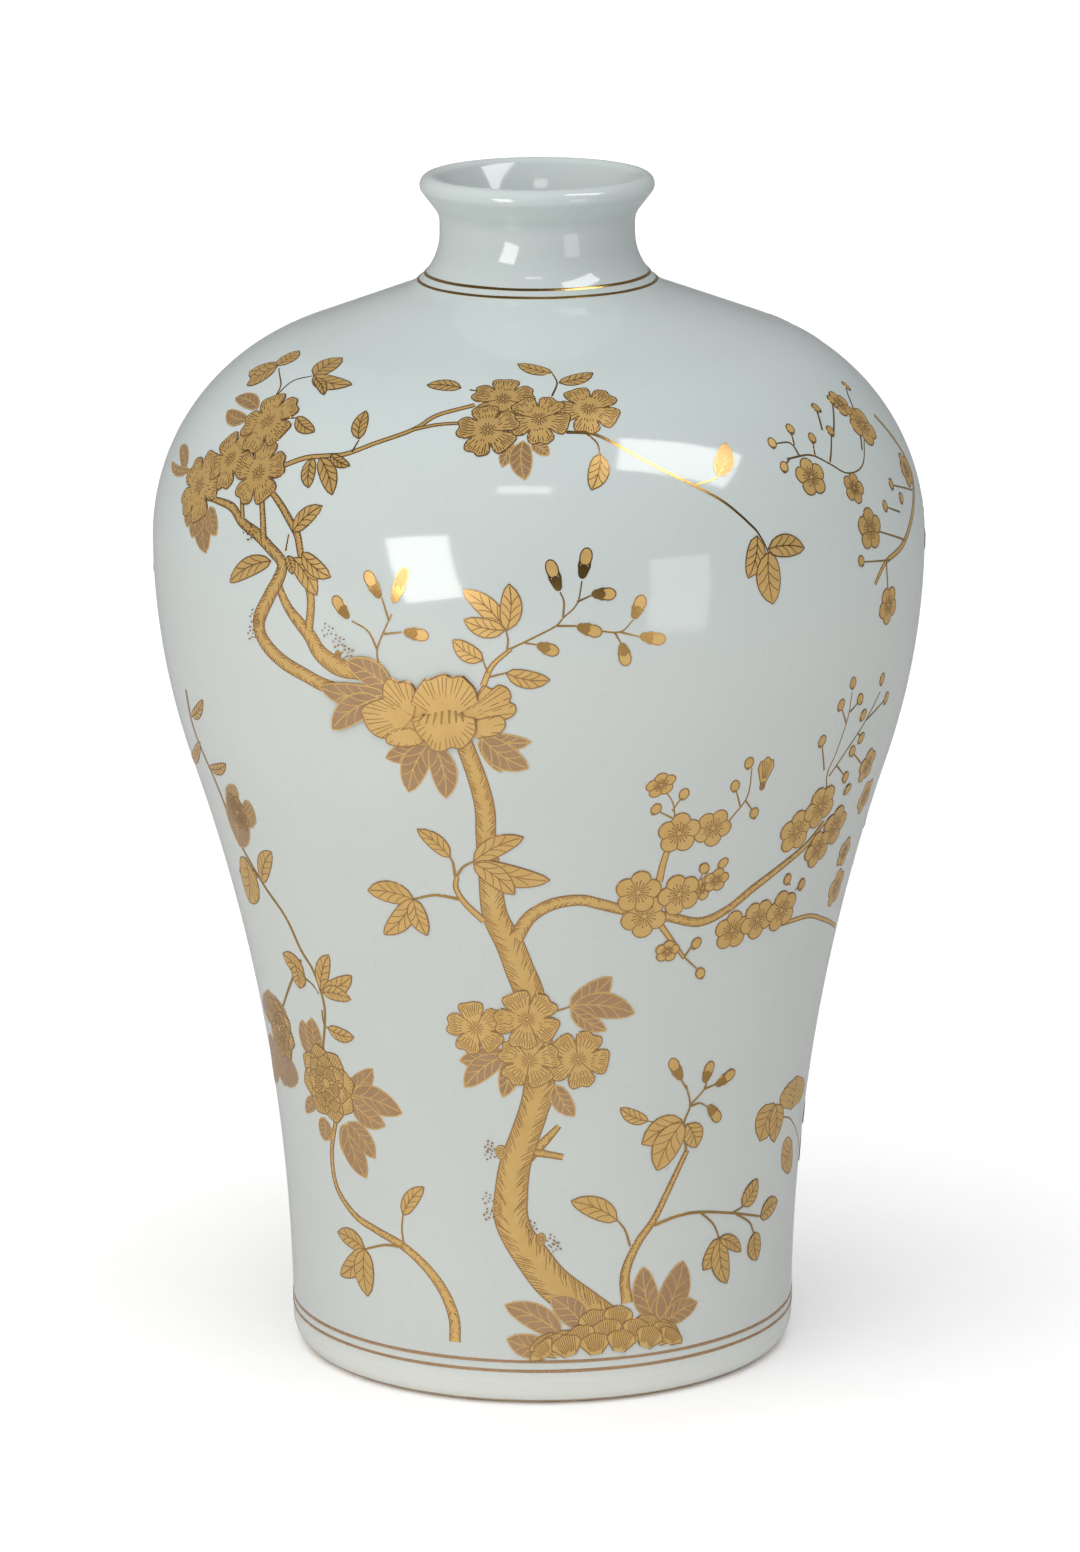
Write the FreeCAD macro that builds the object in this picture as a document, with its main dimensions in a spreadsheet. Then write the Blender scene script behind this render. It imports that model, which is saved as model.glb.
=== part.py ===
import FreeCAD, Part
import Sketcher
import math
import os

# A meiping vase of porcelain, 380 mm tall: a low foot ring, a body that swells to a high round
# shoulder, a short narrow neck and a rolled lip. Its clay sections are joined with slip at
# half-lapped seams, a glaze coats it inside and out, and gilt lines ring the neck and the foot.
# It stands on z = 0 with its axis on +Z, and sizes are in millimetres.
# Radii and heights are those of the finished surface, over the glaze.

SIZES = {
    # Foot
    "foot_radius": 81.0,
    "foot_edge_height": 8.0,
    "foot_edge_inset": 4.9,
    "foot_ring_width": 15.0,
    "foot_bevel": 1.5,
    "foot_seam_rise": 3.0,
    # Base, which closes the body and stands clear of the table
    "base_recess": 8.0,
    "base_thickness": 7.0,
    "base_seat": 4.0,
    "floor_fillet": 12.0,
    # Body
    "belly_radius": 122.5,
    "belly_height": 265.0,
    "body_wall": 5.5,
    "body_seam_drop": 60.0,
    # Neck and mouth
    "shoulder_rise": 96.5,
    "neck_radius": 30.8,
    "neck_wall": 4.5,
    "neck_seam_drop": 9.0,
    "throat_land": 4.0,
    "mouth_rise": 14.5,
    "lip_overhang": 6.2,
    "lip_swell": 0.65,
    # Seams, glaze and gilding
    "lap_height": 3.0,
    "glaze": 0.4,
    "bare_foot": 1.5,
    "gilt": 0.15,
    "line_width": 1.0,
    "foot_line_height": 11.9,
    "foot_line_gap": 3.1,
    "neck_line_drop": 14.7,
    "neck_line_gap": 2.2,
    # How far a cutting solid runs past what it cuts
    "overrun": 10.0,
    # Curves: how the two arcs of each double curve share its height, and how full they are
    "belly_share": 0.276,
    "shoulder_share": 0.728,
    "neck_share": 0.199,
    "mouth_share": 0.6,
}


def double_curve(run, rise):
    """Sum of the radii of two opposed arcs, upright at both ends, that cross a run over a rise."""
    return f"(({run})^2 + ({rise})^2) / (2 * ({run}))"


# Heights and radii that follow from the sizes
THROAT_HEIGHT = "(sizes.belly_height + sizes.shoulder_rise)"
THROAT_TOP = f"({THROAT_HEIGHT} + sizes.throat_land)"
VASE_HEIGHT = f"({THROAT_TOP} + sizes.mouth_rise)"
FLOOR_HEIGHT = "(sizes.base_recess + sizes.base_thickness)"
RECESS_RADIUS = "(sizes.foot_radius - sizes.foot_ring_width)"
DISC_RADIUS = f"({RECESS_RADIUS} + sizes.base_seat)"
SWEEP_RADIUS = "(sizes.belly_radius + sizes.overrun)"

# Radii of the arcs on the finished surface
EDGE_ARC = "((sizes.foot_edge_height^2 + sizes.foot_edge_inset^2) / (2 * sizes.foot_edge_inset))"
BODY_CURVE = double_curve("sizes.belly_radius - sizes.foot_radius",
                          "sizes.belly_height - sizes.foot_edge_height")
FLARE_ARC = f"((1 - sizes.belly_share) * {BODY_CURVE})"
BELLY_ARC = f"(sizes.belly_share * {BODY_CURVE})"
NECK_CURVE = double_curve("sizes.belly_radius - sizes.neck_radius", "sizes.shoulder_rise")
SHOULDER_ARC = f"(sizes.shoulder_share * {NECK_CURVE})"
NECK_ARC = f"(sizes.neck_share * {NECK_CURVE})"
LIP_ARC = "(sizes.neck_wall / 2 + sizes.glaze + sizes.lip_swell)"
MOUTH_CURVE = double_curve("sizes.lip_overhang", f"sizes.mouth_rise - {LIP_ARC}")
MOUTH_ARC = f"(sizes.mouth_share * ({MOUTH_CURVE} - {LIP_ARC}))"

# Depths below the finished surface: of the clay, the middle of the wall and the inner faces
SURFACE = ("0", "0")
CLAY = ("sizes.glaze", "sizes.glaze")
MID_WALL = ("(sizes.glaze + sizes.body_wall / 2)", "(sizes.glaze + sizes.neck_wall / 2)")
INNER_CLAY = ("(sizes.glaze + sizes.body_wall)", "(sizes.glaze + sizes.neck_wall)")
INNER_SURFACE = ("(2 * sizes.glaze + sizes.body_wall)", "(2 * sizes.glaze + sizes.neck_wall)")

HALF_TURN = math.pi
QUARTER_TURN = math.pi / 2

doc = FreeCAD.newDocument("meiping_vase")


def make_sheet():
    """The driving dimensions, one row each: a name and a plain number under that alias."""
    table = doc.addObject("Spreadsheet::Sheet", "sizes")
    for row, (name, size) in enumerate(SIZES.items(), start=1):
        table.set(f"A{row}", name)
        table.set(f"B{row}", str(size))
        table.setAlias(f"B{row}", name)
    doc.recompute()
    return table


sheet = make_sheet()


def value(expression):
    """The present value of an expression on the sheet."""
    return float(sheet.evalExpression(expression))


class Circle:
    """A circle of the section: its centre and radius as expressions and as numbers."""

    def __init__(self, x, y, radius):
        self.x_from = x
        self.y_from = y
        self.radius_from = radius
        self.centre = FreeCAD.Vector(value(x), value(y), 0)
        self.radius = value(radius)

    def at(self, angle):
        return self.centre + FreeCAD.Vector(math.cos(angle), math.sin(angle), 0) * self.radius


class Piece:
    """One arc or line of an outline, with the constraints that hold it, from start to end."""

    def __init__(self, name, start, end, circle=None, angles=None, pins=()):
        self.name = name
        self.start = start
        self.end = end
        self.circle = circle
        self.angles = angles
        self.pins = list(pins)

    def reversed(self):
        swap = {"start": "end", "end": "start"}
        pins = []
        for kind, expression in self.pins:
            point, *rest = kind.split("_", 1)
            pins.append(("_".join([swap.get(point, point), *rest]), expression))
        angles = self.angles and (self.angles[1], self.angles[0])
        return Piece(self.name, self.end, self.start, self.circle, angles, pins)


def arc(name, circle, first, last, pins):
    return Piece(name, circle.at(first), circle.at(last), circle, (first, last), pins)


def line(name, start, end, pins=()):
    return Piece(name, start, end, pins=pins)


def backwards(chain):
    return [piece.reversed() for piece in reversed(chain)]


def tangent_angle(circle, other, crossing, turn):
    """Direction, at both circles, of the points where a line touches them.

    A crossing line passes between the circles, and any other keeps both on one side.
    """
    across = other.centre - circle.centre
    gap = circle.radius + other.radius if crossing else circle.radius - other.radius
    return math.atan2(across.y, across.x) + turn * math.acos(gap / across.Length)


def edge_circle(depth):
    return Circle(f"sizes.foot_radius - {depth} - {EDGE_ARC}", "sizes.foot_edge_height", EDGE_ARC)


def flare_circle(depth):
    return Circle(f"sizes.foot_radius + {FLARE_ARC}", "sizes.foot_edge_height",
                  f"{FLARE_ARC} + {depth}")


def belly_circle(depth):
    return Circle(f"sizes.belly_radius - {BELLY_ARC}", "sizes.belly_height",
                  f"{BELLY_ARC} - {depth}")


def shoulder_circle(depth):
    return Circle(f"sizes.belly_radius - {SHOULDER_ARC}", "sizes.belly_height",
                  f"{SHOULDER_ARC} - {depth}")


def neck_circle(depth):
    return Circle(f"sizes.neck_radius + {NECK_ARC}", THROAT_HEIGHT, f"{NECK_ARC} + {depth}")


def mouth_circle(depth):
    return Circle(f"sizes.neck_radius + {MOUTH_ARC}", THROAT_TOP, f"{MOUTH_ARC} + {depth}")


def lip_circle(depth):
    return Circle(f"sizes.neck_radius + sizes.lip_overhang - {LIP_ARC}",
                  f"{VASE_HEIGHT} - {LIP_ARC}", f"{LIP_ARC} - {depth}")


def body_chain(depths, lowest):
    """The side from a height near the foot up to the top of the throat, at depths below the surface.

    The foot edge, the flare and the belly meet as one double curve, and the shoulder runs by a
    straight slope into the neck, which is upright at the throat.
    """
    body_depth, neck_depth = depths
    edge = edge_circle(body_depth)
    flare = flare_circle(body_depth)
    belly = belly_circle(body_depth)
    shoulder = shoulder_circle(body_depth)
    neck = neck_circle(neck_depth)
    first = math.asin((value(lowest) - edge.centre.y) / edge.radius)
    swing = belly.centre - flare.centre
    crest = math.atan2(swing.y, swing.x)
    slope = tangent_angle(shoulder, neck, True, -1)
    throat = neck.at(HALF_TURN)
    throat_top = FreeCAD.Vector(throat.x, value(THROAT_TOP), 0)
    return [
        arc("edge", edge, first, 0, [("centre_y", edge.y_from), ("radius", edge.radius_from),
                                     ("start_y", lowest)]),
        arc("flare", flare, HALF_TURN, crest, [("centre_x", flare.x_from),
                                               ("centre_y", flare.y_from),
                                               ("radius", flare.radius_from)]),
        arc("belly", belly, crest - HALF_TURN, 0, [("centre_y", belly.y_from),
                                                   ("end_x", f"sizes.belly_radius - {body_depth}"),
                                                   ("end_y", belly.y_from)]),
        arc("shoulder", shoulder, 0, slope, [("radius", shoulder.radius_from)]),
        line("slope", shoulder.at(slope), neck.at(slope + HALF_TURN)),
        arc("neck", neck, slope + HALF_TURN, HALF_TURN, [("centre_x", neck.x_from),
                                                         ("centre_y", neck.y_from),
                                                         ("radius", neck.radius_from)]),
        line("throat", throat, throat_top, [("vertical", None), ("end_y", THROAT_TOP)]),
    ]


def inner_angle(depths, lip_depth):
    """Direction of the points where the inside of the mouth touches its two circles."""
    return tangent_angle(mouth_circle(depths[1]), lip_circle(lip_depth), False, 1)


def lip_pins(lip):
    return [("centre_x", lip.x_from), ("centre_y", lip.y_from), ("radius", lip.radius_from)]


def outer_mouth(depths, lip_depth, over_to=None):
    """The outside of the mouth, from the throat to the crest of the lip or over to a direction."""
    mouth = mouth_circle(depths[1])
    lip = lip_circle(lip_depth)
    spread = tangent_angle(mouth, lip, True, 1)
    last = QUARTER_TURN if over_to is None else over_to
    pins = lip_pins(lip)
    if over_to is None:
        pins.append(("end_over_centre", None))
    return [
        arc("mouth", mouth, HALF_TURN, spread, [("radius", mouth.radius_from)]),
        line("mouth_slope", mouth.at(spread), lip.at(spread - HALF_TURN)),
        arc("lip", lip, spread - HALF_TURN, last, pins),
    ]


def inner_mouth(depths, lip_depth, from_crest):
    """The inside of the mouth, from the lip down to the top of the throat."""
    mouth = mouth_circle(depths[1])
    lip = lip_circle(lip_depth)
    spread = inner_angle(depths, lip_depth)
    chain = [
        line("inner_mouth_slope", lip.at(spread), mouth.at(spread)),
        arc("inner_mouth", mouth, spread, HALF_TURN, [("radius", mouth.radius_from)]),
    ]
    if from_crest:
        pins = lip_pins(lip) + [("start_over_centre", None)]
        chain.insert(0, arc("inner_lip", lip, QUARTER_TURN, spread, pins))
    return chain


def inner_body(depths, floor, fillet):
    """The inside of the body, from the top of the throat down over the floor to the axis."""
    flare = flare_circle(depths[0])
    side = backwards(body_chain(depths, "sizes.foot_edge_height"))[:-1]
    middle = value(f"{floor} + {fillet}")
    reach = flare.radius + value(fillet)
    drop = math.asin((middle - flare.centre.y) / reach)
    centre_x = flare.centre.x - reach * math.cos(drop)
    foot = HALF_TURN - drop
    bend = Circle("0", "0", fillet)
    bend.centre = FreeCAD.Vector(centre_x, middle, 0)
    low = side[-1]
    low.end = flare.at(foot)
    low.angles = (low.angles[0], foot)
    floor_end = bend.at(-QUARTER_TURN)
    axis = FreeCAD.Vector(0, floor_end.y, 0)
    return side + [
        arc("floor_fillet", bend, -drop, -QUARTER_TURN, [("radius", fillet)]),
        line("floor", floor_end, axis, [("horizontal", None), ("end_y", floor), ("end_x", "0")]),
    ]


def polygon(names, points):
    """Straight pieces through points given as pairs of expressions; each pins its own start."""
    places = [FreeCAD.Vector(value(x), value(y), 0) for x, y in points]
    chain = []
    for index, name in enumerate(names):
        x, y = points[index]
        chain.append(line(name, places[index], places[index + 1], [("start_x", x), ("start_y", y)]))
    return chain


class Outline:
    """A closed half-section sketched in a body's own upright plane."""

    def __init__(self, body, name):
        self.sketch = body.newObject("Sketcher::SketchObject", name)
        plane = [feature for feature in body.Origin.OriginFeatures if feature.Role == "XZ_Plane"]
        self.sketch.AttachmentSupport = [(plane[0], "")]
        self.sketch.MapMode = "FlatFace"
        self.constraints = []
        self.bound = {}

    def add(self, piece):
        """Adds one piece and returns its number and the point numbers of its start and end."""
        if piece.circle is None:
            number = self.sketch.addGeometry(Part.LineSegment(piece.start, piece.end), False)
            return number, 1, 2
        round_ = Part.Circle(piece.circle.centre, FreeCAD.Vector(0, 0, 1), piece.circle.radius)
        first, last = piece.angles
        forward = last > first
        span = (first, last) if forward else (last, first)
        number = self.sketch.addGeometry(Part.ArcOfCircle(round_, *span), False)
        return (number, 1, 2) if forward else (number, 2, 1)

    def pin(self, label, placed, kind, expression):
        """Holds a piece by one dimension, tied to the sheet, or by one direction."""
        number, start, end = placed
        point = {"start": start, "end": end, "centre": 3}.get(kind.split("_")[0])
        if kind in ("vertical", "horizontal"):
            self.hold(kind.capitalize(), number)
        elif kind.endswith("over_centre"):
            self.hold("Vertical", number, point, number, 3)
        elif expression == "0":
            axis = -2 if kind.endswith("x") else -1
            self.hold("PointOnObject", number, point, axis)
        else:
            self.bound[len(self.constraints)] = (f"{label}_{kind}", expression)
            if kind == "radius":
                self.hold("Radius", number, value(expression))
            else:
                distance = "DistanceX" if kind.endswith("x") else "DistanceY"
                self.hold(distance, number, point, value(expression))

    def hold(self, *arguments):
        self.constraints.append(Sketcher.Constraint(*arguments))

    def close(self, chains):
        """Draws the chains in order: smooth within a chain, and a corner between two chains."""
        placed = []
        for chain in chains:
            for index, piece in enumerate(chain):
                placed.append((piece, self.add(piece), "Tangent" if index else "Coincident"))
        for index, (piece, here, joint) in enumerate(placed):
            before = placed[index - 1][1]
            self.hold(joint, before[0], before[2], here[0], here[1])
            for kind, expression in piece.pins:
                self.pin(f"{piece.name}_{index}", here, kind, expression)
        self.sketch.addConstraint(self.constraints)
        for number, (name, expression) in self.bound.items():
            self.sketch.renameConstraint(number, name)
            self.sketch.setExpression(f"Constraints.{name}", expression)
        return self.sketch


def turned_body(name, chains):
    """A body made by turning a closed half-section about the vase's axis."""
    body = doc.addObject("PartDesign::Body", name)
    body.Label = name
    sketch = Outline(body, f"{name}_section").close(chains)
    turn = body.newObject("PartDesign::Revolution", f"{name}_turn")
    turn.Profile = sketch
    turn.ReferenceAxis = (sketch, ["V_Axis"])
    turn.Angle = 360
    doc.recompute()
    return body


def link(name, start, end, pins=()):
    """A chain of one line between the ends of two others."""
    return [line(name, start, end, pins)]


def clay_wall():
    """All the clay in one: foot ring, base, body, neck and lip, before it is cut into sections."""
    over = inner_angle(INNER_CLAY, "sizes.glaze")
    outside = body_chain(CLAY, "0") + outer_mouth(CLAY, "sizes.glaze", over)
    inside = inner_mouth(INNER_CLAY, "sizes.glaze", False)
    inside += inner_body(INNER_CLAY, FLOOR_HEIGHT, "sizes.floor_fillet")
    bottom = polygon(
        ["recess", "ring_side", "ring_bevel"],
        [("0", "sizes.base_recess"), (RECESS_RADIUS, "sizes.base_recess"),
         (RECESS_RADIUS, "sizes.foot_bevel"), (f"{RECESS_RADIUS} + sizes.foot_bevel", "0")])
    rim_start = bottom[-1].end
    rim_x = f"{RECESS_RADIUS} + sizes.foot_bevel"
    rim = link("ring_face", rim_start, outside[0].start, [("start_x", rim_x), ("start_y", "0")])
    axis = link("wall_axis", inside[-1].end, bottom[0].start)
    corners = [[piece] for piece in bottom]
    return turned_body("clay_wall", corners + [rim, outside + inside, axis])


def mid_wall_core():
    """The space inside the middle of the wall, up to the top of the throat."""
    side = body_chain(MID_WALL, "0")
    top = side[-1].end
    origin = FreeCAD.Vector(0, 0, 0)
    lid = link("core_lid", top, FreeCAD.Vector(0, top.y, 0), [("horizontal", None), ("end_x", "0")])
    axis = link("core_axis", lid[0].end, origin)
    floor = link("core_floor", origin, side[0].start, [("start_x", "0"), ("start_y", "0")])
    return turned_body("mid_wall_core", [floor, side, lid, axis])


def outer_glaze():
    """The glaze outside, from the bare foot to the crest of the lip."""
    outside = body_chain(SURFACE, "sizes.bare_foot") + outer_mouth(SURFACE, "0")
    inside = backwards(body_chain(CLAY, "sizes.bare_foot") + outer_mouth(CLAY, "sizes.glaze"))
    lid = link("glaze_crest", outside[-1].end, inside[0].start)
    foot = link("glaze_foot", inside[-1].end, outside[0].start)
    return turned_body("outer_glaze", [outside, lid, inside, foot])


def inner_glaze():
    """The glaze inside, from the crest of the lip down over the floor."""
    top = f"{FLOOR_HEIGHT} + sizes.glaze"
    surface = inner_mouth(INNER_SURFACE, "0", True)
    surface += inner_body(INNER_SURFACE, top, "sizes.floor_fillet - sizes.glaze")
    clay = inner_mouth(INNER_CLAY, "sizes.glaze", True)
    clay += inner_body(INNER_CLAY, FLOOR_HEIGHT, "sizes.floor_fillet")
    clay = backwards(clay)
    axis = link("glaze_axis", surface[-1].end, clay[0].start)
    crest = link("glaze_crest", clay[-1].end, surface[0].start)
    return turned_body("inner_glaze", [surface, axis, clay, crest])


def base_glaze():
    """The glaze under the base and down the inside of the foot ring, which is bare below it."""
    under = "sizes.base_recess - sizes.glaze"
    inner = f"{RECESS_RADIUS} - sizes.glaze"
    bare = "sizes.foot_bevel + sizes.bare_foot"
    points = [("0", under), (inner, under), (inner, bare), (RECESS_RADIUS, bare),
              (RECESS_RADIUS, "sizes.base_recess"), ("0", "sizes.base_recess"), ("0", under)]
    names = ["under_face", "ring_face", "lower_edge", "ring_back", "back_face", "base_axis"]
    return turned_body("base_glaze", [[piece] for piece in polygon(names, points)])


def cylinder(name, radius, low, high):
    """An upright cutting cylinder between two heights."""
    solid = doc.addObject("Part::Cylinder", name)
    solid.setExpression("Radius", radius)
    solid.setExpression("Height", f"{high} - ({low})")
    solid.setExpression("Placement.Base.z", low)
    return solid


def combined(kind, name, base, tool):
    """A boolean of two solids: Part::Common, Part::Cut or Part::Fuse."""
    result = doc.addObject(kind, name)
    result.Base = base
    result.Tool = tool
    result.Label = name
    return result


def clay_sections(wall, core):
    """The clay cut at its seams: each lower section's rim laps up inside the next one's."""
    disc_top = f"{FLOOR_HEIGHT} + sizes.floor_fillet"
    disc_zone = cylinder("disc_zone", DISC_RADIUS, "sizes.base_recess", disc_top)
    ring_wall = combined("Part::Cut", "ring_wall", wall, disc_zone)
    sections = [combined("Part::Common", "base_disc", wall, disc_zone)]
    seams = [("foot_ring", "(sizes.base_recess + sizes.foot_seam_rise)"),
             ("lower_body", "(sizes.belly_height - sizes.body_seam_drop)"),
             ("upper_body", f"({THROAT_HEIGHT} - sizes.neck_seam_drop)"),
             ("neck", f"({VASE_HEIGHT} + sizes.overrun)")]
    low = "(-sizes.overrun)"
    lap_below = None
    for name, seam in seams:
        zone = cylinder(f"{name}_slab", SWEEP_RADIUS, low, seam)
        lap = None
        if name != seams[-1][0]:
            lap_slab = cylinder(f"{name}_lap_slab", SWEEP_RADIUS, seam, f"{seam} + sizes.lap_height")
            lap = combined("Part::Common", f"{name}_lap", core, lap_slab)
            zone = combined("Part::Fuse", f"{name}_lapped", zone, lap)
        if lap_below:
            zone = combined("Part::Cut", f"{name}_zone", zone, lap_below)
        sections.append(combined("Part::Common", name, ring_wall, zone))
        low = seam
        lap_below = lap
    return sections


def gilt_line(name, circle_at, middle):
    """A gilt line round the side at a height, on one of the two hollow arcs of the surface."""
    heights = f"{middle} - sizes.line_width / 2", f"{middle} + sizes.line_width / 2"
    faces = []
    for label, depth in (("glaze_side", "0"), ("open_side", "(-sizes.gilt)")):
        circle = circle_at(depth)
        ends = [HALF_TURN - math.asin((value(height) - circle.centre.y) / circle.radius)
                for height in heights]
        pins = [("centre_x", circle.x_from), ("centre_y", circle.y_from),
                ("radius", circle.radius_from), ("start_y", heights[0]), ("end_y", heights[1])]
        faces.append([arc(label, circle, *ends, pins)])
    glaze_side, open_side = faces[0], backwards(faces[1])
    upper_edge = link("upper_edge", glaze_side[0].end, open_side[0].start)
    lower_edge = link("lower_edge", open_side[0].end, glaze_side[0].start)
    return turned_body(name, [glaze_side, upper_edge, open_side, lower_edge])


def gilt_lines():
    """Two gilt lines round the foot and two round the neck."""
    foot_low = "sizes.foot_line_height"
    neck_low = f"({THROAT_HEIGHT} - sizes.neck_line_drop)"
    return [
        gilt_line("foot_line_lower", flare_circle, foot_low),
        gilt_line("foot_line_upper", flare_circle, f"{foot_low} + sizes.foot_line_gap"),
        gilt_line("neck_line_lower", neck_circle, neck_low),
        gilt_line("neck_line_upper", neck_circle, f"{neck_low} + sizes.neck_line_gap"),
    ]


def check(parts):
    """Stops when an object of the document failed or a sub-part is not one sound solid."""
    for item in doc.Objects:
        if "Invalid" in item.State or "Error" in item.State:
            raise RuntimeError(f"{item.Name} failed: {item.State}")
    for part in parts:
        shape = part.Shape
        if shape.isNull() or not shape.isValid() or len(shape.Solids) != 1:
            raise RuntimeError(f"{part.Label} is not one sound solid")


def main():
    wall = clay_wall()
    core = mid_wall_core()
    parts = clay_sections(wall, core) + gilt_lines()
    parts += [outer_glaze(), inner_glaze(), base_glaze()]
    doc.recompute()
    check(parts)
    os.makedirs("parts", exist_ok=True)
    for part in parts:
        part.Shape.exportStep(os.path.join("parts", f"{part.Label}.step"))
        box = part.Shape.BoundBox
        print(f"{part.Label}: {part.Shape.Volume:.1f} mm3, z {box.ZMin:.2f} to {box.ZMax:.2f},"
              f" r {box.XMax:.2f}")


main()
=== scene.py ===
import math
import random
from collections import namedtuple

import bpy
import numpy as np
from mathutils import Matrix, Vector


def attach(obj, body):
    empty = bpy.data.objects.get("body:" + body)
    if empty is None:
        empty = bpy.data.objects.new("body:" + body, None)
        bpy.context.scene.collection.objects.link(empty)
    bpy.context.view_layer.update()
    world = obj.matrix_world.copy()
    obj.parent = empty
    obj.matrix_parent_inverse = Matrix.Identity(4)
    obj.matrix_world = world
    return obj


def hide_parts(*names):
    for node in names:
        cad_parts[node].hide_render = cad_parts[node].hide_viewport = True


# The look of the vase: its glaze, bare foot and gilt lines as smooth turned coats, and the gilded
# branches drawn on its side. Lengths are in millimetres up to the point where a mesh is made.
# Places named by a pixel are those of the 1080 by 1552 photograph, seen by the camera below.

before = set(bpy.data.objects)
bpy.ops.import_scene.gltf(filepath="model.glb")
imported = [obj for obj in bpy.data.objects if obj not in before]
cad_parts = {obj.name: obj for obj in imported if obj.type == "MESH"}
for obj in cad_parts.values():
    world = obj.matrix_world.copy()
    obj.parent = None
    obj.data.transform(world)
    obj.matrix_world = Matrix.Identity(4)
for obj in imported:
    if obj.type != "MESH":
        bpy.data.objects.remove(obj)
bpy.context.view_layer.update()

MM = 0.001
DRAW = random.Random(7)

# Section of the vase, with the same sizes as its solids

FOOT_RADIUS = 81.0
FOOT_EDGE_HEIGHT = 8.0
FOOT_EDGE_INSET = 4.9
FOOT_RING_WIDTH = 15.0
FOOT_BEVEL = 1.5
BASE_RECESS = 8.0
BASE_THICKNESS = 7.0
FLOOR_FILLET = 12.0
BELLY_RADIUS = 122.5
BELLY_HEIGHT = 265.0
BODY_WALL = 5.5
SHOULDER_RISE = 96.5
NECK_RADIUS = 30.8
NECK_WALL = 4.5
THROAT_LAND = 4.0
MOUTH_RISE = 14.5
LIP_OVERHANG = 6.2
LIP_SWELL = 0.65
GLAZE = 0.4
BARE_FOOT = 1.5
GILT = 0.15
LINE_WIDTH = 1.0
FOOT_LINE_HEIGHT = 11.9
FOOT_LINE_GAP = 3.1
NECK_LINE_DROP = 14.7
NECK_LINE_GAP = 2.2
BELLY_SHARE = 0.276
SHOULDER_SHARE = 0.728
NECK_SHARE = 0.199
MOUTH_SHARE = 0.6

THROAT_HEIGHT = BELLY_HEIGHT + SHOULDER_RISE
THROAT_TOP = THROAT_HEIGHT + THROAT_LAND
VASE_HEIGHT = THROAT_TOP + MOUTH_RISE
FLOOR_HEIGHT = BASE_RECESS + BASE_THICKNESS
RECESS_RADIUS = FOOT_RADIUS - FOOT_RING_WIDTH


def double_curve(run, rise):
    """Sum of the radii of two opposed arcs, upright at both ends, that cross a run over a rise."""
    return (run ** 2 + rise ** 2) / (2 * run)


EDGE_ARC = double_curve(FOOT_EDGE_INSET, FOOT_EDGE_HEIGHT)
BODY_CURVE = double_curve(BELLY_RADIUS - FOOT_RADIUS, BELLY_HEIGHT - FOOT_EDGE_HEIGHT)
FLARE_ARC = (1 - BELLY_SHARE) * BODY_CURVE
BELLY_ARC = BELLY_SHARE * BODY_CURVE
NECK_CURVE = double_curve(BELLY_RADIUS - NECK_RADIUS, SHOULDER_RISE)
SHOULDER_ARC = SHOULDER_SHARE * NECK_CURVE
NECK_ARC = NECK_SHARE * NECK_CURVE
LIP_ARC = NECK_WALL / 2 + GLAZE + LIP_SWELL
MOUTH_ARC = MOUTH_SHARE * (double_curve(LIP_OVERHANG, MOUTH_RISE - LIP_ARC) - LIP_ARC)


def arc(centre, radius, first, last, step):
    """Points (radius, height) along an arc of the section."""
    count = max(3, int(abs(last - first) * radius / step) + 2)
    return [(centre[0] + radius * math.cos(turn), centre[1] + radius * math.sin(turn))
            for turn in np.linspace(first, last, count)]


def touch_angle(centre, radius, other, other_radius, crossing, turn):
    """Direction, at both circles, of the points where a line touches them."""
    across = (other[0] - centre[0], other[1] - centre[1])
    gap = radius + other_radius if crossing else radius - other_radius
    return math.atan2(across[1], across[0]) + turn * math.acos(gap / math.hypot(*across))


def side(body_depth, neck_depth, lowest, step):
    """The side of the section from a low height up to the top of the throat."""
    edge = (FOOT_RADIUS - body_depth - EDGE_ARC, FOOT_EDGE_HEIGHT)
    flare = (FOOT_RADIUS + FLARE_ARC, FOOT_EDGE_HEIGHT)
    belly = (BELLY_RADIUS - BELLY_ARC, BELLY_HEIGHT)
    shoulder = (BELLY_RADIUS - SHOULDER_ARC, BELLY_HEIGHT)
    neck = (NECK_RADIUS + NECK_ARC, THROAT_HEIGHT)
    crest = math.atan2(belly[1] - flare[1], belly[0] - flare[0])
    slope = touch_angle(shoulder, SHOULDER_ARC - body_depth, neck, NECK_ARC + neck_depth, True, -1)
    points = []
    if lowest < FOOT_EDGE_HEIGHT:
        start = math.asin((lowest - edge[1]) / EDGE_ARC)
        points += arc(edge, EDGE_ARC, start, 0, step)
    points += arc(flare, FLARE_ARC + body_depth, math.pi, crest, step)
    points += arc(belly, BELLY_ARC - body_depth, crest - math.pi, 0, step)[1:]
    points += arc(shoulder, SHOULDER_ARC - body_depth, 0, slope, step)[1:]
    points += arc(neck, NECK_ARC + neck_depth, slope + math.pi, math.pi, step)
    points.append((NECK_RADIUS - neck_depth, THROAT_TOP))
    return points


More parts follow.
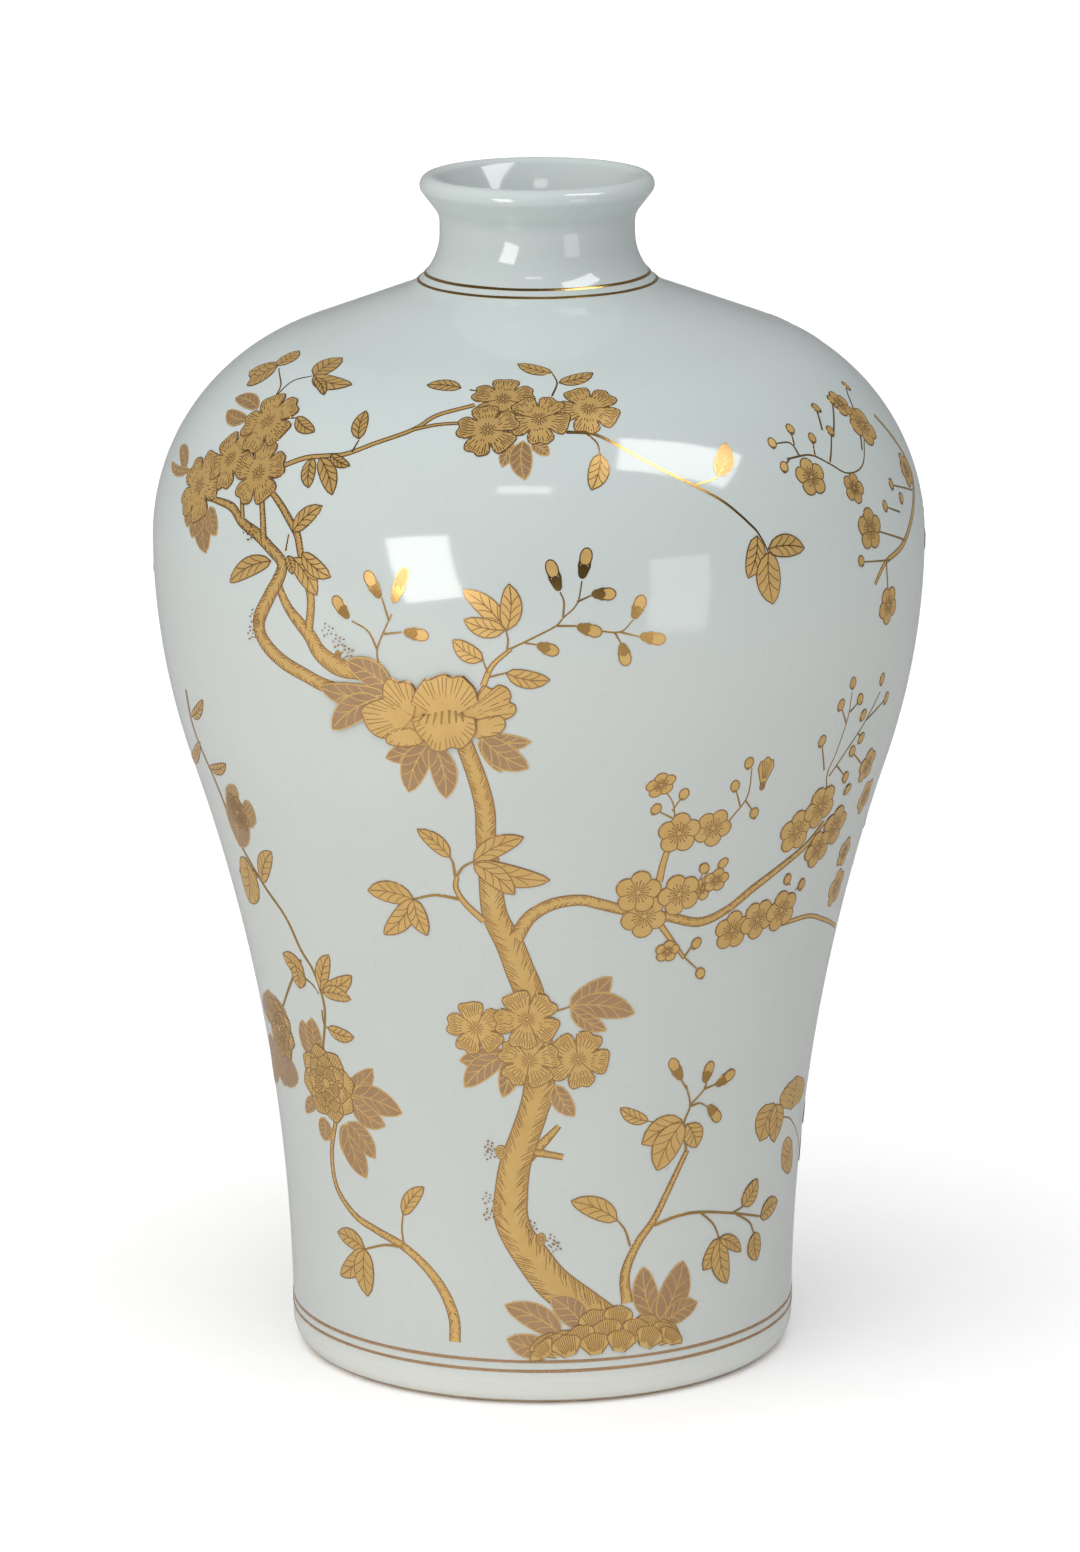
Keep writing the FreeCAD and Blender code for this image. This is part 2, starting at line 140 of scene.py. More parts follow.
def mouth(neck_depth, lip_depth, inner, step):
    """The outside or inside of the mouth, from the top of the throat to the crest of the lip."""
    bell = (NECK_RADIUS + MOUTH_ARC, THROAT_TOP)
    lip = (NECK_RADIUS + LIP_OVERHANG - LIP_ARC, VASE_HEIGHT - LIP_ARC)
    bell_radius = MOUTH_ARC + neck_depth
    lip_radius = LIP_ARC - lip_depth
    spread = touch_angle(bell, bell_radius, lip, lip_radius, not inner, 1)
    lip_start = spread if inner else spread - math.pi
    points = arc(bell, bell_radius, math.pi, spread, step)[1:]
    return points + arc(lip, lip_radius, lip_start, math.pi / 2, step / 3)


def inside(glaze, step):
    """The inside of the vase, from the middle of the floor up to the crest of the lip."""
    body_depth = GLAZE + BODY_WALL + glaze
    neck_depth = GLAZE + NECK_WALL + glaze
    floor = FLOOR_HEIGHT + glaze
    fillet = FLOOR_FILLET - glaze
    reach = FLARE_ARC + body_depth + fillet
    drop = math.asin((floor + fillet - FOOT_EDGE_HEIGHT) / reach)
    bend = (FOOT_RADIUS + FLARE_ARC - reach * math.cos(drop), floor + fillet)
    points = [(0.0, floor)] + [(bend[0] * share, floor) for share in np.linspace(0.05, 0.95, 12)]
    points += arc(bend, fillet, -math.pi / 2, -drop, step)
    wall = side(body_depth, neck_depth, FOOT_EDGE_HEIGHT, step)
    low = bend[1] + fillet * math.sin(-drop)
    points += [point for point in wall if point[1] > low + step / 2]
    return points + mouth(neck_depth, GLAZE - glaze, True, step)


# The side as a table: length along it, radius, height and slope

SURFACE_STEP = 0.3
surface = np.array(side(0, 0, BARE_FOOT, SURFACE_STEP))
surface_length = np.concatenate(([0.0], np.cumsum(np.hypot(*np.diff(surface, axis=0).T))))
surface_slope = np.gradient(surface, surface_length, axis=0)
surface_slope /= np.hypot(*surface_slope.T)[:, None]


def radius_at(along):
    return np.interp(along, surface_length, surface[:, 0])


def placed(turn, along, lift):
    """Points on the side, lifted off the glaze, and the directions that face out of it there."""
    slope_r = np.interp(along, surface_length, surface_slope[:, 0])
    slope_z = np.interp(along, surface_length, surface_slope[:, 1])
    size = np.hypot(slope_r, slope_z)
    out_r, out_z = slope_z / size, -slope_r / size
    radius = radius_at(along) + lift * out_r
    height = np.interp(along, surface_length, surface[:, 1]) + lift * out_z
    points = np.column_stack((radius * np.sin(turn), -radius * np.cos(turn), height))
    facing = np.column_stack((out_r * np.sin(turn), -out_r * np.cos(turn), out_z))
    return points, facing


# Camera of the photograph

PHOTO_WIDTH = 1080
PHOTO_HEIGHT = 1552
FOCAL_PIXELS = 7453.0
CAMERA_PLACE = np.array((0.0, -2320.5, 742.3))
CAMERA_PITCH = math.radians(13.497)
CAMERA_ROLL = math.radians(0.28)
SENSOR = 36.0
NEAREST, FARTHEST = 2100.0, 2620.0
SIGHT_STEPS = 1041


def sight(px, py):
    """Direction in which the camera sees a pixel."""
    x = px - PHOTO_WIDTH / 2
    y = py - PHOTO_HEIGHT / 2
    right = x * math.cos(CAMERA_ROLL) - y * math.sin(CAMERA_ROLL)
    down = x * math.sin(CAMERA_ROLL) + y * math.cos(CAMERA_ROLL)
    forward = np.array((0, math.cos(CAMERA_PITCH), -math.sin(CAMERA_PITCH)))
    up = np.array((0, math.sin(CAMERA_PITCH), math.cos(CAMERA_PITCH)))
    ray = forward * FOCAL_PIXELS + np.array((right, 0, 0)) - up * down
    return ray / np.linalg.norm(ray)


def seen(px, py):
    """The point of the vase's side that the camera sees at a pixel, or its rim just beside it."""
    ray = sight(px, py)
    reach = np.linspace(NEAREST, FARTHEST, SIGHT_STEPS)
    points = CAMERA_PLACE + reach[:, None] * ray
    side_radius = np.interp(points[:, 2], surface[:, 1], surface[:, 0], left=0, right=0)
    gap = np.hypot(points[:, 0], points[:, 1]) - side_radius
    within = np.flatnonzero(gap < 0)
    if len(within) == 0:
        return points[np.argmin(gap)]
    after = within[0]
    share = gap[after - 1] / (gap[after - 1] - gap[after])
    return points[after - 1] + share * (points[after] - points[after - 1])


def on_vase(px, py):
    """A pixel's place on the side: its turn about the axis from the front, and its length up."""
    x, y, z = seen(px, py)
    return math.atan2(x, -y), float(np.interp(z, surface[:, 1], surface_length))


def all_on_vase(pixels):
    """Places on the side of pixels, which are written in one row, x and y by turns."""
    return np.array([on_vase(px, py) for px, py in zip(pixels[::2], pixels[1::2])])


# Gilding: patches and strokes laid on the side, each above what it overlaps

PIXEL = 0.2945
MATTE, LUSTRE, BRIGHT, DRAWN = 0, 1, 2, 3
OUTLINE = 0.38
HATCH = 0.29
FIRST_LIFT = 0.05
LIFT_STEP = 0.04
SKIRT = -0.02
FACET = 2.0
CELL = 2.0
levels = {}


def level_above(points):
    """The level just above everything laid where these points are, which it then takes."""
    cells = {(int(turn), int(along)) for turn, along in
             np.floor(points * (BELLY_RADIUS / CELL, 1 / CELL))}
    near = {(turn + i, along + j) for turn, along in cells for i in (-1, 0, 1) for j in (-1, 0, 1)}
    level = 1 + max(levels.get(cell, -1) for cell in near)
    for cell in cells:
        levels[cell] = level
    return level


# A piece of gilding on the side: its points (turn, along), faces, rim and finish
Patch = namedtuple("Patch", "points faces rim finish")


def grid_patch(rows, finish):
    """A patch from rows of points, all of one length."""
    count, width = rows.shape[:2]
    faces = [(i * width + j, i * width + j + 1, (i + 1) * width + j + 1, (i + 1) * width + j)
             for i in range(count - 1) for j in range(width - 1)]
    last = (count - 1) * width
    rim = list(range(width)) + [i * width + width - 1 for i in range(1, count)]
    rim += [last + j for j in range(width - 2, -1, -1)]
    rim += [i * width for i in range(count - 2, 0, -1)]
    return Patch(rows.reshape(-1, 2), faces, rim, finish)


def fan_patch(centre, rim, finish):
    """A patch that fills a closed rim seen whole from its centre."""
    rim = np.asarray(rim)
    centre = np.asarray(centre)
    count = len(rim)
    size = np.hypot((rim[:, 0] - centre[0]) * radius_at(centre[1]), rim[:, 1] - centre[1]).max()
    rings = max(1, math.ceil(size / FACET))
    points = [centre[None]]
    points += [centre + (rim - centre) * (ring / rings) for ring in range(1, rings + 1)]
    faces = [(0, 1 + j, 1 + (j + 1) % count) for j in range(count)]
    for ring in range(rings - 1):
        low = 1 + ring * count
        high = low + count
        for j in range(count):
            k = (j + 1) % count
            faces.append((low + j, high + j, high + k, low + k))
    last = 1 + (rings - 1) * count
    return Patch(np.concatenate(points), faces, list(range(last, last + count)), finish)


def sideways(path):
    """The direction across a path at each of its points, a millimetre long, as (turn, along)."""
    radius = radius_at(path[:, 1])
    step = np.gradient(path, axis=0) * np.column_stack((radius, np.ones(len(path))))
    step /= np.maximum(np.hypot(*step.T), 1e-9)[:, None]
    return np.column_stack((-step[:, 1] / radius, step[:, 0]))


def strip(path, widths, finish):
    """A strip along a path, as wide as the widths say."""
    path = np.asarray(path, float)
    widths = np.broadcast_to(np.asarray(widths, float), len(path))
    across = sideways(path) * widths[:, None] / 2
    columns = max(1, math.ceil(widths.max() / FACET))
    rows = np.stack([path + across * share for share in np.linspace(-1, 1, columns + 1)], axis=1)
    return grid_patch(rows, finish)


def path_lengths(path):
    steps = np.diff(path, axis=0)
    radius = radius_at((path[1:, 1] + path[:-1, 1]) / 2)
    return np.concatenate(([0.0], np.cumsum(np.hypot(steps[:, 0] * radius, steps[:, 1]))))


def smooth(points, step=1.5):
    """A smooth path through points, with samples about a step apart, and where each one is."""
    count = len(points)
    points = np.concatenate((2 * points[:1] - points[1:2], points, 2 * points[-1:] - points[-2:-1]))
    path, where = [], []
    for i in range(count - 1):
        a, b, c, d = points[i:i + 4]
        length = math.hypot((c[0] - b[0]) * radius_at(b[1]), c[1] - b[1])
        samples = max(1, math.ceil(length / step))
        for k in range(samples):
            t = k / samples
            path.append(0.5 * (2 * b + (c - a) * t + (2 * a - 5 * b + 4 * c - d) * t ** 2
                               + (3 * b - a - 3 * c + d) * t ** 3))
            where.append(i + t)
    return np.array(path + [points[-2]]), np.array(where + [count - 1])


class Gilding:
    """Everything gilded in one motif of the decoration, which becomes one mesh."""

    def __init__(self):
        self.points = []
        self.lifts = []
        self.faces = []
        self.finishes = []
        self.count = 0

    def add(self, patch, lift):
        """Adds a patch at a lift, with a skirt from its rim down into the glaze."""
        a, b, c = (patch.points[i] for i in patch.faces[len(patch.faces) // 2][:3])
        ahead = (b[0] - a[0]) * (c[1] - a[1]) - (b[1] - a[1]) * (c[0] - a[0]) > 0
        start = self.count
        below = start + len(patch.points)
        rim = patch.rim
        self.points += [patch.points, patch.points[rim]]
        self.lifts += [lift] * len(patch.points) + [SKIRT] * len(rim)
        faces = [tuple(start + i for i in face) for face in patch.faces]
        for i in range(len(rim)):
            j = (i + 1) % len(rim)
            faces.append((start + rim[j], start + rim[i], below + i, below + j))
        if not ahead:
            faces = [face[::-1] for face in faces]
        self.faces += faces
        self.finishes += [patch.finish] * len(faces)
        self.count = below + len(rim)

    def lay(self, fills, strokes=()):
        """Lays one shape, its fills and the strokes drawn on them, above what it overlaps."""
        level = level_above(np.concatenate([patch.points for patch in fills]))
        for patch in fills:
            self.add(patch, FIRST_LIFT + level * LIFT_STEP)
        for patch in strokes:
            self.add(patch, FIRST_LIFT + (level + 0.5) * LIFT_STEP)

    def make(self, name, turned, rise=0.0):
        """The mesh of this motif, turned about the vase's axis and moved up along its side."""
        turn, along = (np.concatenate(self.points) + (turned, rise)).T
        points, facing = placed(turn, along, np.array(self.lifts))
        mesh = bpy.data.meshes.new(name)
        mesh.from_pydata((points * MM).tolist(), [], self.faces)
        for finish in (matte_gilt, lustre, bright_gilt, drawn_line):
            mesh.materials.append(finish)
        mesh.polygons.foreach_set("material_index", self.finishes)
        mesh.normals_split_custom_set_from_vertices(facing.tolist())
        return shown(name, mesh)


class Spot:
    """A flat drawing board on the side: x runs ahead and y to its left, in millimetres."""

    def __init__(self, place, heading=0.0):
        self.turn, self.along = place
        self.heading = heading

    def on(self, points):
        points = np.atleast_2d(np.asarray(points, float))
        cos, sin = math.cos(self.heading), math.sin(self.heading)
        x = points[:, 0] * cos - points[:, 1] * sin
        along = self.along + points[:, 0] * sin + points[:, 1] * cos
        return np.column_stack((self.turn + x / radius_at(along), along))

    def line(self, points, width=OUTLINE, finish=DRAWN):
        return strip(self.on(points), width, finish)

    def fan(self, rim, finish=MATTE, centre=(0, 0)):
        return fan_patch(self.on(centre)[0], self.on(rim), finish)


def step_between(base, tip):
    """The step from one pixel to another on the side, round it and up it, in millimetres."""
    start, end = on_vase(*base), on_vase(*tip)
    return (end[0] - start[0]) * radius_at((start[1] + end[1]) / 2), end[1] - start[1]


def spot_between(base, tip):
    """A board at a pixel that heads for another, and the distance between the two."""
    x, y = step_between(base, tip)
    return Spot(on_vase(*base), math.atan2(y, x)), math.hypot(x, y)


def width_on_vase(base, tip, width):
    """How wide a shape is on the side that looks a number of pixels wide halfway between two."""
    along = np.subtract(tip, base) / math.dist(base, tip)
    middle = np.add(base, tip) / 2
    over = np.array((-along[1], along[0])) * width / 2
    ahead_x, ahead_y = step_between(base, tip)
    over_x, over_y = step_between(middle - over, middle + over)
    return abs(ahead_x * over_y - ahead_y * over_x) / math.hypot(ahead_x, ahead_y)


def polar(turn, reach):
    return reach * math.cos(turn), reach * math.sin(turn)


def ring(radius_x, radius_y, centre=(0, 0), count=16):
    turns = np.linspace(0, 2 * math.pi, count, endpoint=False)
    return np.column_stack((centre[0] + radius_x * np.cos(turns),
                            centre[1] + radius_y * np.sin(turns)))


def closed(points):
    return np.concatenate((points, points[:1]))


# Motifs

LEAF_WIDEST = 0.46
LEAF_FULLNESS = 0.62
LEAF_TIP = 0.04
LEAF_BEND = 0.07
VEIN_STARTS = (0.18, 0.36, 0.54)
FLOWER_GROWTH = 1.15
SECTOR = math.pi / 5
PETAL_HATCHES = 13
BARK_SPACING = 0.95
THINNEST_BARK = 1.4
GOLDEN_TURN = 2.4


def leaf(gilding, base, tip, width, brown, bend):
    """A pointed leaf between two pixels, with its outline, midrib and side veins."""
    board, length = spot_between(base, tip)
    width = width_on_vase(base, tip, width)
    fill, line = (LUSTRE, MATTE) if brown else (MATTE, DRAWN)
    shares = np.linspace(0, 1, max(8, math.ceil(length / FACET) + 1))
    columns = np.linspace(-1, 1, max(3, math.ceil(width / FACET) + 1))

    def half(share):
        rise = (share / LEAF_WIDEST) ** LEAF_FULLNESS
        narrowing = LEAF_FULLNESS * (1 - LEAF_WIDEST) / LEAF_WIDEST
        fall = ((1 - share) / (1 - LEAF_WIDEST)) ** narrowing
        return width / 2 * rise * fall + LEAF_TIP

    def point(share, column=0.0, widest=None):
        over = half(share if widest is None else widest)
        return length * share, bend * length * 4 * share * (1 - share) + over * column

    strokes = []
    for hand in (-1, 1):
        strokes.append(board.line([point(share, hand * 0.97) for share in shares], OUTLINE, line))
        for share in VEIN_STARTS:
            reach = share + 0.22
            vein = [point(share), point(share + 0.13, hand * 0.38, reach),
                    point(reach, hand * 0.86)]
            strokes.append(board.line(vein, HATCH, line))
    rib = [point(share) for share in np.linspace(0, 0.95, 7)]
    strokes.append(board.line(rib, OUTLINE, line))
    rows = np.array([board.on([point(share, column) for column in columns]) for share in shares])
    gilding.lay([grid_patch(rows, fill)], strokes)


def leaves(gilding, rows, brown=False):
    """Leaves that bend by turns; a row is the pixels of a leaf's base and tip, and its width."""
    for index, (px, py, tip_x, tip_y, width) in enumerate(rows):
        bend = LEAF_BEND if index % 2 else -LEAF_BEND
        leaf(gilding, (px, py), (tip_x, tip_y), width, brown, bend)


def flower_radius(board, pixels):
    """The radius of a round flower, which looks narrower the nearer it is to the vase's rim."""
    return FLOWER_GROWTH * pixels * PIXEL / max(math.cos(board.turn), 0.35) ** 0.25


def petal_edge(share):
    """How far a broad petal reaches, at a share of the way from its middle to its side."""
    return 1 - 0.40 * abs(share) ** 5 - 0.07 * math.exp(-(share / 0.2) ** 2)


def blossom(gilding, centre, radius, heading):
    """An open flower with five broad notched petals, hatched from their edges inwards."""
    board = Spot(on_vase(*centre), heading)
    radius = flower_radius(board, radius)
    rim = []
    strokes = []

    def stroke(turn, low, high, width=HATCH):
        strokes.append(board.line([polar(turn, radius * low), polar(turn, radius * high)], width))

    for petal_index in range(5):
        middle = petal_index * 2 * SECTOR
        for share in np.linspace(-1, 1, 15)[:-1]:
            ripple = 0.025 * math.sin(9 * share + 2 * petal_index)
            rim.append(polar(middle + share * SECTOR, radius * (petal_edge(share) + ripple)))
        stroke(middle - SECTOR, 0.12, 0.6, OUTLINE)
        for k in range(PETAL_HATCHES):
            share = (k - PETAL_HATCHES // 2) / 6.8
            low = (0.64 if k % 2 else 0.40) + 0.10 * abs(share) + DRAW.uniform(-0.05, 0.08)
            stroke(middle + share * SECTOR, low, petal_edge(share) - 0.08)
        for share in (-0.3, 0.3):
            stroke(middle + share * SECTOR, 0.11, 0.27)
    strokes.append(board.line(closed(np.array(rim)) * 0.985))
    strokes.append(board.line(closed(ring(0.07 * radius, 0.07 * radius))))
    gilding.lay([board.fan(rim)], strokes)


def prunus(gilding, centre, radius, heading, squeeze=1.0):
    """A small flower with five round petals and long stamens."""
    board = Spot(on_vase(*centre), heading)
    radius = flower_radius(board, radius)
    petal_reach, petal_radius = 0.56, 0.45
    rim = []
    strokes = []

    def at(turn, reach):
        x, y = polar(turn, radius * reach)
        return x, y * squeeze

    for petal_index in range(5):
        middle = petal_index * 2 * SECTOR
        for share in np.linspace(-1, 1, 11)[:-1]:
            off = petal_reach * math.sin(share * SECTOR)
            reach = petal_reach * math.cos(share * SECTOR) + math.sqrt(petal_radius ** 2 - off ** 2)
            rim.append(at(middle + share * SECTOR, reach))
        notch = middle - SECTOR
        strokes.append(board.line([at(notch, 0.22), at(notch, 0.74)]))
        for share, reach in ((-0.55, 0.40), (0, 0.48), (0.55, 0.42)):
            turn = middle + share * SECTOR
            strokes.append(board.line([at(turn, 0.1), at(turn, reach)], HATCH))
            head = ring(0.045 * radius, 0.045 * radius, at(turn, reach + 0.04), 6)
            strokes.append(board.fan(head, DRAWN, head.mean(axis=0)))
    strokes.append(board.line(closed(np.array(rim)) * 0.98))
    gilding.lay([board.fan(rim)], strokes)


def half_blossom(gilding, base, tip, width):
    """A flower seen from the side, opening from one pixel towards another."""
    board, length = spot_between(base, tip)
    half = width * PIXEL / 2
    points, stripes = 18, 5
    rim = [(0, -0.15 * half)]
    for k in range(points + 1):
        share = k / points
        spread = 2 * share - 1
        lobe = 0.90 + 0.10 * abs(math.sin(3 * math.pi * share))
        rim.append((length * (0.55 + 0.45 * math.cos(spread * 1.25)) * lobe,
                    half * math.sin(spread * math.pi / 2)))
    rim.append((0, 0.15 * half))
    strokes = [board.line(closed(np.array(rim)))]
    for k in range(stripes):
        spread = 2 * (k + 0.5) / stripes - 1
        strokes.append(board.line([(0.3 * length, 0.3 * half * spread),
                                   (0.85 * length, 0.8 * half * spread)], HATCH))
    cup = ring(0.16 * length, 0.4 * half, (0.04 * length, 0), 10)
    strokes.append(board.fan(cup, DRAWN, cup.mean(axis=0)))
    gilding.lay([board.fan(rim, MATTE, (0.45 * length, 0))], strokes)


def large_bud(gilding, tip, calyx_x, calyx_y, size=1.0):
    """A plump bud: a gold oval held in a dark cup with two pointed sepals."""
    board, length = spot_between((calyx_x, calyx_y), tip)
    size *= 1.2 * PIXEL
    oval = ring(max(6.8 * size, 0.6 * length), 5.2 * size, (length, 0), 20)
    cup = ring(max(6.2 * size, 0.5 * length), 4.3 * size, (0.5 * size, 0), 16)
    gilding.lay([board.fan(oval, MATTE, oval.mean(axis=0))], [board.line(closed(oval))])
    sepals = []
    for hand in (-1, 1):
        sepal = [(0, 3.0 * size * hand), (0.4 * length, 4.6 * size * hand),
                 (0.85 * length, 4.8 * size * hand)]
        sepals.append(board.line(sepal, np.array((2.6, 2.2, 0.5)) * size, BRIGHT))
    gilding.lay([board.fan(cup, BRIGHT, cup.mean(axis=0))], sepals)


def small_bud(gilding, centre, size):
    """A round bud with a small cup at its foot."""
    radius = size * PIXEL / 2
    board = Spot(on_vase(*centre), DRAW.uniform(0.6, 2.2))
    rim = ring(1.1 * radius, 0.9 * radius, count=14)
    cup = [(-1.3 * radius, 0), (-0.8 * radius, 0)]
    strokes = [board.line(closed(rim)), board.line(cup, (0.5 * radius, 1.1 * radius), BRIGHT)]
    gilding.lay([board.fan(rim)], strokes)


def stem(gilding, pixels, width=1.9):
    """A thin stem drawn with one stroke of the brush."""
    path, where = smooth(all_on_vase(pixels))
    widths = np.interp(where, (0, where[-1]), (1.15, 0.7)) * width * PIXEL
    gilding.lay([strip(path, widths, BRIGHT)])


def stems(gilding, paths, width=1.9):
    for pixels in paths:
        stem(gilding, pixels, width)


def branch(gilding, pixels, widths, hatched=True):
    """A gilded branch with outlined sides and, where it is thick, bark hatched in from them."""
    path, where = smooth(all_on_vase(pixels))
    width = np.interp(where, np.linspace(0, where[-1], len(widths)), widths) * PIXEL
    across = sideways(path)
    lengths = path_lengths(path)
    strokes = []
    for hand in (-1, 1):
        edge = path + across * (hand * width / 2 * 0.97)[:, None]
        strokes.append(strip(edge, OUTLINE, DRAWN))

    def inward(place, hand, depth):
        """The point of the branch at a length along it, a depth in from the side at a hand."""
        at = min(max(place, 0), lengths[-1])
        middle = np.array([np.interp(at, lengths, path[:, k]) for k in (0, 1)])
        over = np.array([np.interp(at, lengths, across[:, k]) for k in (0, 1)])
        return middle + over * hand * depth

    for hand in (-1, 1) if hatched else ():
        place = BARK_SPACING * DRAW.random()
        while place < lengths[-1] - 1:
            here = float(np.interp(place, lengths, width))
            if here > THINNEST_BARK:
                depth = DRAW.uniform(0.16, 0.42) * here
                lean = DRAW.uniform(1.0, 1.6) * depth
                ends = [inward(place + back, hand, here / 2 - deep)
                        for back, deep in ((0, 0.0), (0.5 * lean, 0.55 * depth), (lean, depth))]
                strokes.append(strip(ends, (HATCH, HATCH, 0.6 * HATCH), DRAWN))
            place += BARK_SPACING * DRAW.uniform(0.75, 1.3)
    gilding.lay([strip(path, width, MATTE)], strokes)


def dots(gilding, centre, spread, count):
    """A cluster of small dark dots, as moss on a bough."""
    board = Spot(on_vase(*centre))
    for k in range(count):
        middle = polar(GOLDEN_TURN * k, spread * PIXEL * math.sqrt((k + 0.5) / count))
        dot = ring(DRAW.uniform(0.20, 0.34), DRAW.uniform(0.18, 0.28), middle, 8)
        gilding.lay([board.fan(dot, DRAWN, middle)])


def knot(gilding, centre, size):
    """A knot of the bark: nested ovals."""
    board = Spot(on_vase(*centre), 1.5)
    size *= PIXEL
    strokes = [board.line(closed(ring(size * k, 0.7 * size * k)), HATCH) for k in (0.97, 0.6, 0.28)]
    gilding.lay([board.fan(ring(size, 0.7 * size))], strokes)


def petal(gilding, rim, base, hatch, count):
    """A petal with a drawn rim, given by pixels, hatched from the rim towards its base."""
    edge, _ = smooth(all_on_vase(rim), 1.0)
    foot = np.array(on_vase(*base))
    heart = 0.55 * foot + 0.45 * edge.mean(axis=0)
    strokes = [strip(edge, OUTLINE, DRAWN)]
    for k in range(count):
        start = edge[int((k + 0.5) / count * (len(edge) - 1))]
        reach = hatch * DRAW.uniform(0.75, 1.15)
        ends = [start + (foot - start) * share for share in (0.03, reach * 0.5, reach)]
        strokes.append(strip(ends, (HATCH, HATCH, 0.7 * HATCH), DRAWN))
    gilding.lay([fan_patch(heart, np.concatenate((edge, foot[None])), MATTE)], strokes)


def scallop(board, length, width, hatches=7, lowest=0.34):
    """The fill and strokes of a lobe that spreads ahead on its board: a petal or a tuft of moss."""
    rim = [(0, -0.18 * width)]
    for turn in np.linspace(-math.pi / 2, math.pi / 2, 15):
        bump = 1 + 0.05 * math.cos(6 * turn)
        rim.append((length * (0.52 + 0.48 * math.cos(turn) * bump), width / 2 * math.sin(turn)))
    rim.append((0, 0.18 * width))
    strokes = [board.line(rim)]
    for k in range(hatches):
        spread = (k + 0.5) / hatches * 1.6 - 0.8
        top = length * (0.52 + 0.44 * math.cos(spread * 1.2))
        low = length * DRAW.uniform(lowest, lowest + 0.16)
        ends = [(low, 0.30 * width * spread), (top, 0.47 * width * spread)]
        strokes.append(board.line(ends, HATCH))
    return board.fan(rim, MATTE, (0.45 * length, 0)), strokes


def lay_scallops(gilding, lobes):
    """Lays lobes that stand beside each other at one level."""
    gilding.lay([fill for fill, _ in lobes], [stroke for _, drawn in lobes for stroke in drawn])


def full_flower(gilding, centre, radius, heading):
    """A double flower: three whorls of hatched petals round a tight heart."""
    board = Spot(on_vase(*centre))
    place = board.turn, board.along
    radius = flower_radius(board, radius)
    for count, reach, width in ((8, 1.0, 0.80), (7, 0.74, 0.62), (5, 0.48, 0.46)):
        turns = [heading + 2 * math.pi * k / count for k in range(count)]
        lay_scallops(gilding, [scallop(Spot(place, turn), radius * reach, radius * width)
                               for turn in turns])
        heading += 0.35
    heart = ring(0.14 * radius, 0.14 * radius)
    gilding.lay([board.fan(heart)], [board.line(closed(heart))])


def each(motif, gilding, rows, *sizes):
    """Draws a motif for each row: a pixel and the motif's own numbers, before those all share."""
    for px, py, *own in rows:
        motif(gilding, (px, py), *own, *sizes)


# The decoration, from the photograph's pixels

def upper_left_bough(g):
    """The two limbs on the left, their leaves and the cluster of open flowers above them."""
    branch(g, (361, 672, 339, 667, 320, 653, 310, 636, 298, 621, 289, 609, 281, 592, 276, 574),
        (17, 21, 18, 15, 12, 10, 8))
    branch(g, (309, 630, 311, 604, 309, 588, 303, 565, 300, 549, 297, 534, 289, 519, 281, 505,
        272, 492), (9, 9, 8, 8, 6))
    branch(g, (399, 690, 363, 694, 329, 687, 305, 675, 281, 660, 264, 641, 259, 621, 269, 597,
        279, 578, 282, 563, 271, 549, 257, 534, 242, 522, 232, 507, 216, 500, 205, 497),
        (14, 14, 15, 15, 16, 17, 17, 15, 14, 13, 12, 12, 10, 9, 6, 5))
    branch(g, (264, 541, 263, 519, 262, 498), (8, 6))
    branch(g, (243, 518, 242, 494), (5, 4), False)
    branch(g, (285, 465, 305, 458, 325, 456, 346, 454, 376, 443, 405, 433, 420, 426, 438, 415,
        475, 405), (5.5, 4.5, 4.5), False)
    branch(g, (412, 430, 436, 425, 460, 423), (3.5, 3), False)
    each(knot, g, ((257, 622, 6), (338, 655, 5)))
    each(dots, g, ((247, 527), (252, 534), (254, 616), (252, 633), (327, 630), (338, 641),
        (347, 652)), 8, 9)
    stems(g, ((276, 396, 281, 384, 279, 368), (276, 396, 293, 381, 312, 376), (288, 418, 298, 418),
        (352, 452, 359, 440), (286, 551, 289, 534)))
    leaves(g, [(277, 366, 299, 351, 10), (277, 366, 250, 371, 12), (277, 367, 247, 385, 12),
        (314, 376, 342, 358, 15), (314, 376, 352, 385, 15), (315, 379, 325, 395, 10),
        (297, 417, 315, 432, 15), (359, 439, 366, 411, 15), (312, 458, 309, 488, 14),
        (320, 458, 333, 495, 18), (331, 455, 350, 466, 11), (293, 532, 322, 506, 16),
        (271, 561, 230, 582, 19), (293, 558, 317, 595, 19), (302, 553, 331, 577, 17),
        (288, 556, 293, 574, 9)])
    leaves(g, [(205, 507, 206, 553, 17), (200, 507, 192, 537, 14), (210, 507, 217, 535, 12),
        (193, 503, 187, 526, 12), (258, 408, 236, 398, 16), (247, 420, 228, 411, 16),
        (186, 470, 181, 446, 10), (190, 470, 172, 462, 10)], True)
    each(blossom, g, ((200, 486, 29, 0.2), (231, 459, 26, 1.2), (259, 473, 29, 0.5),
        (268, 422, 30, 0.9)))


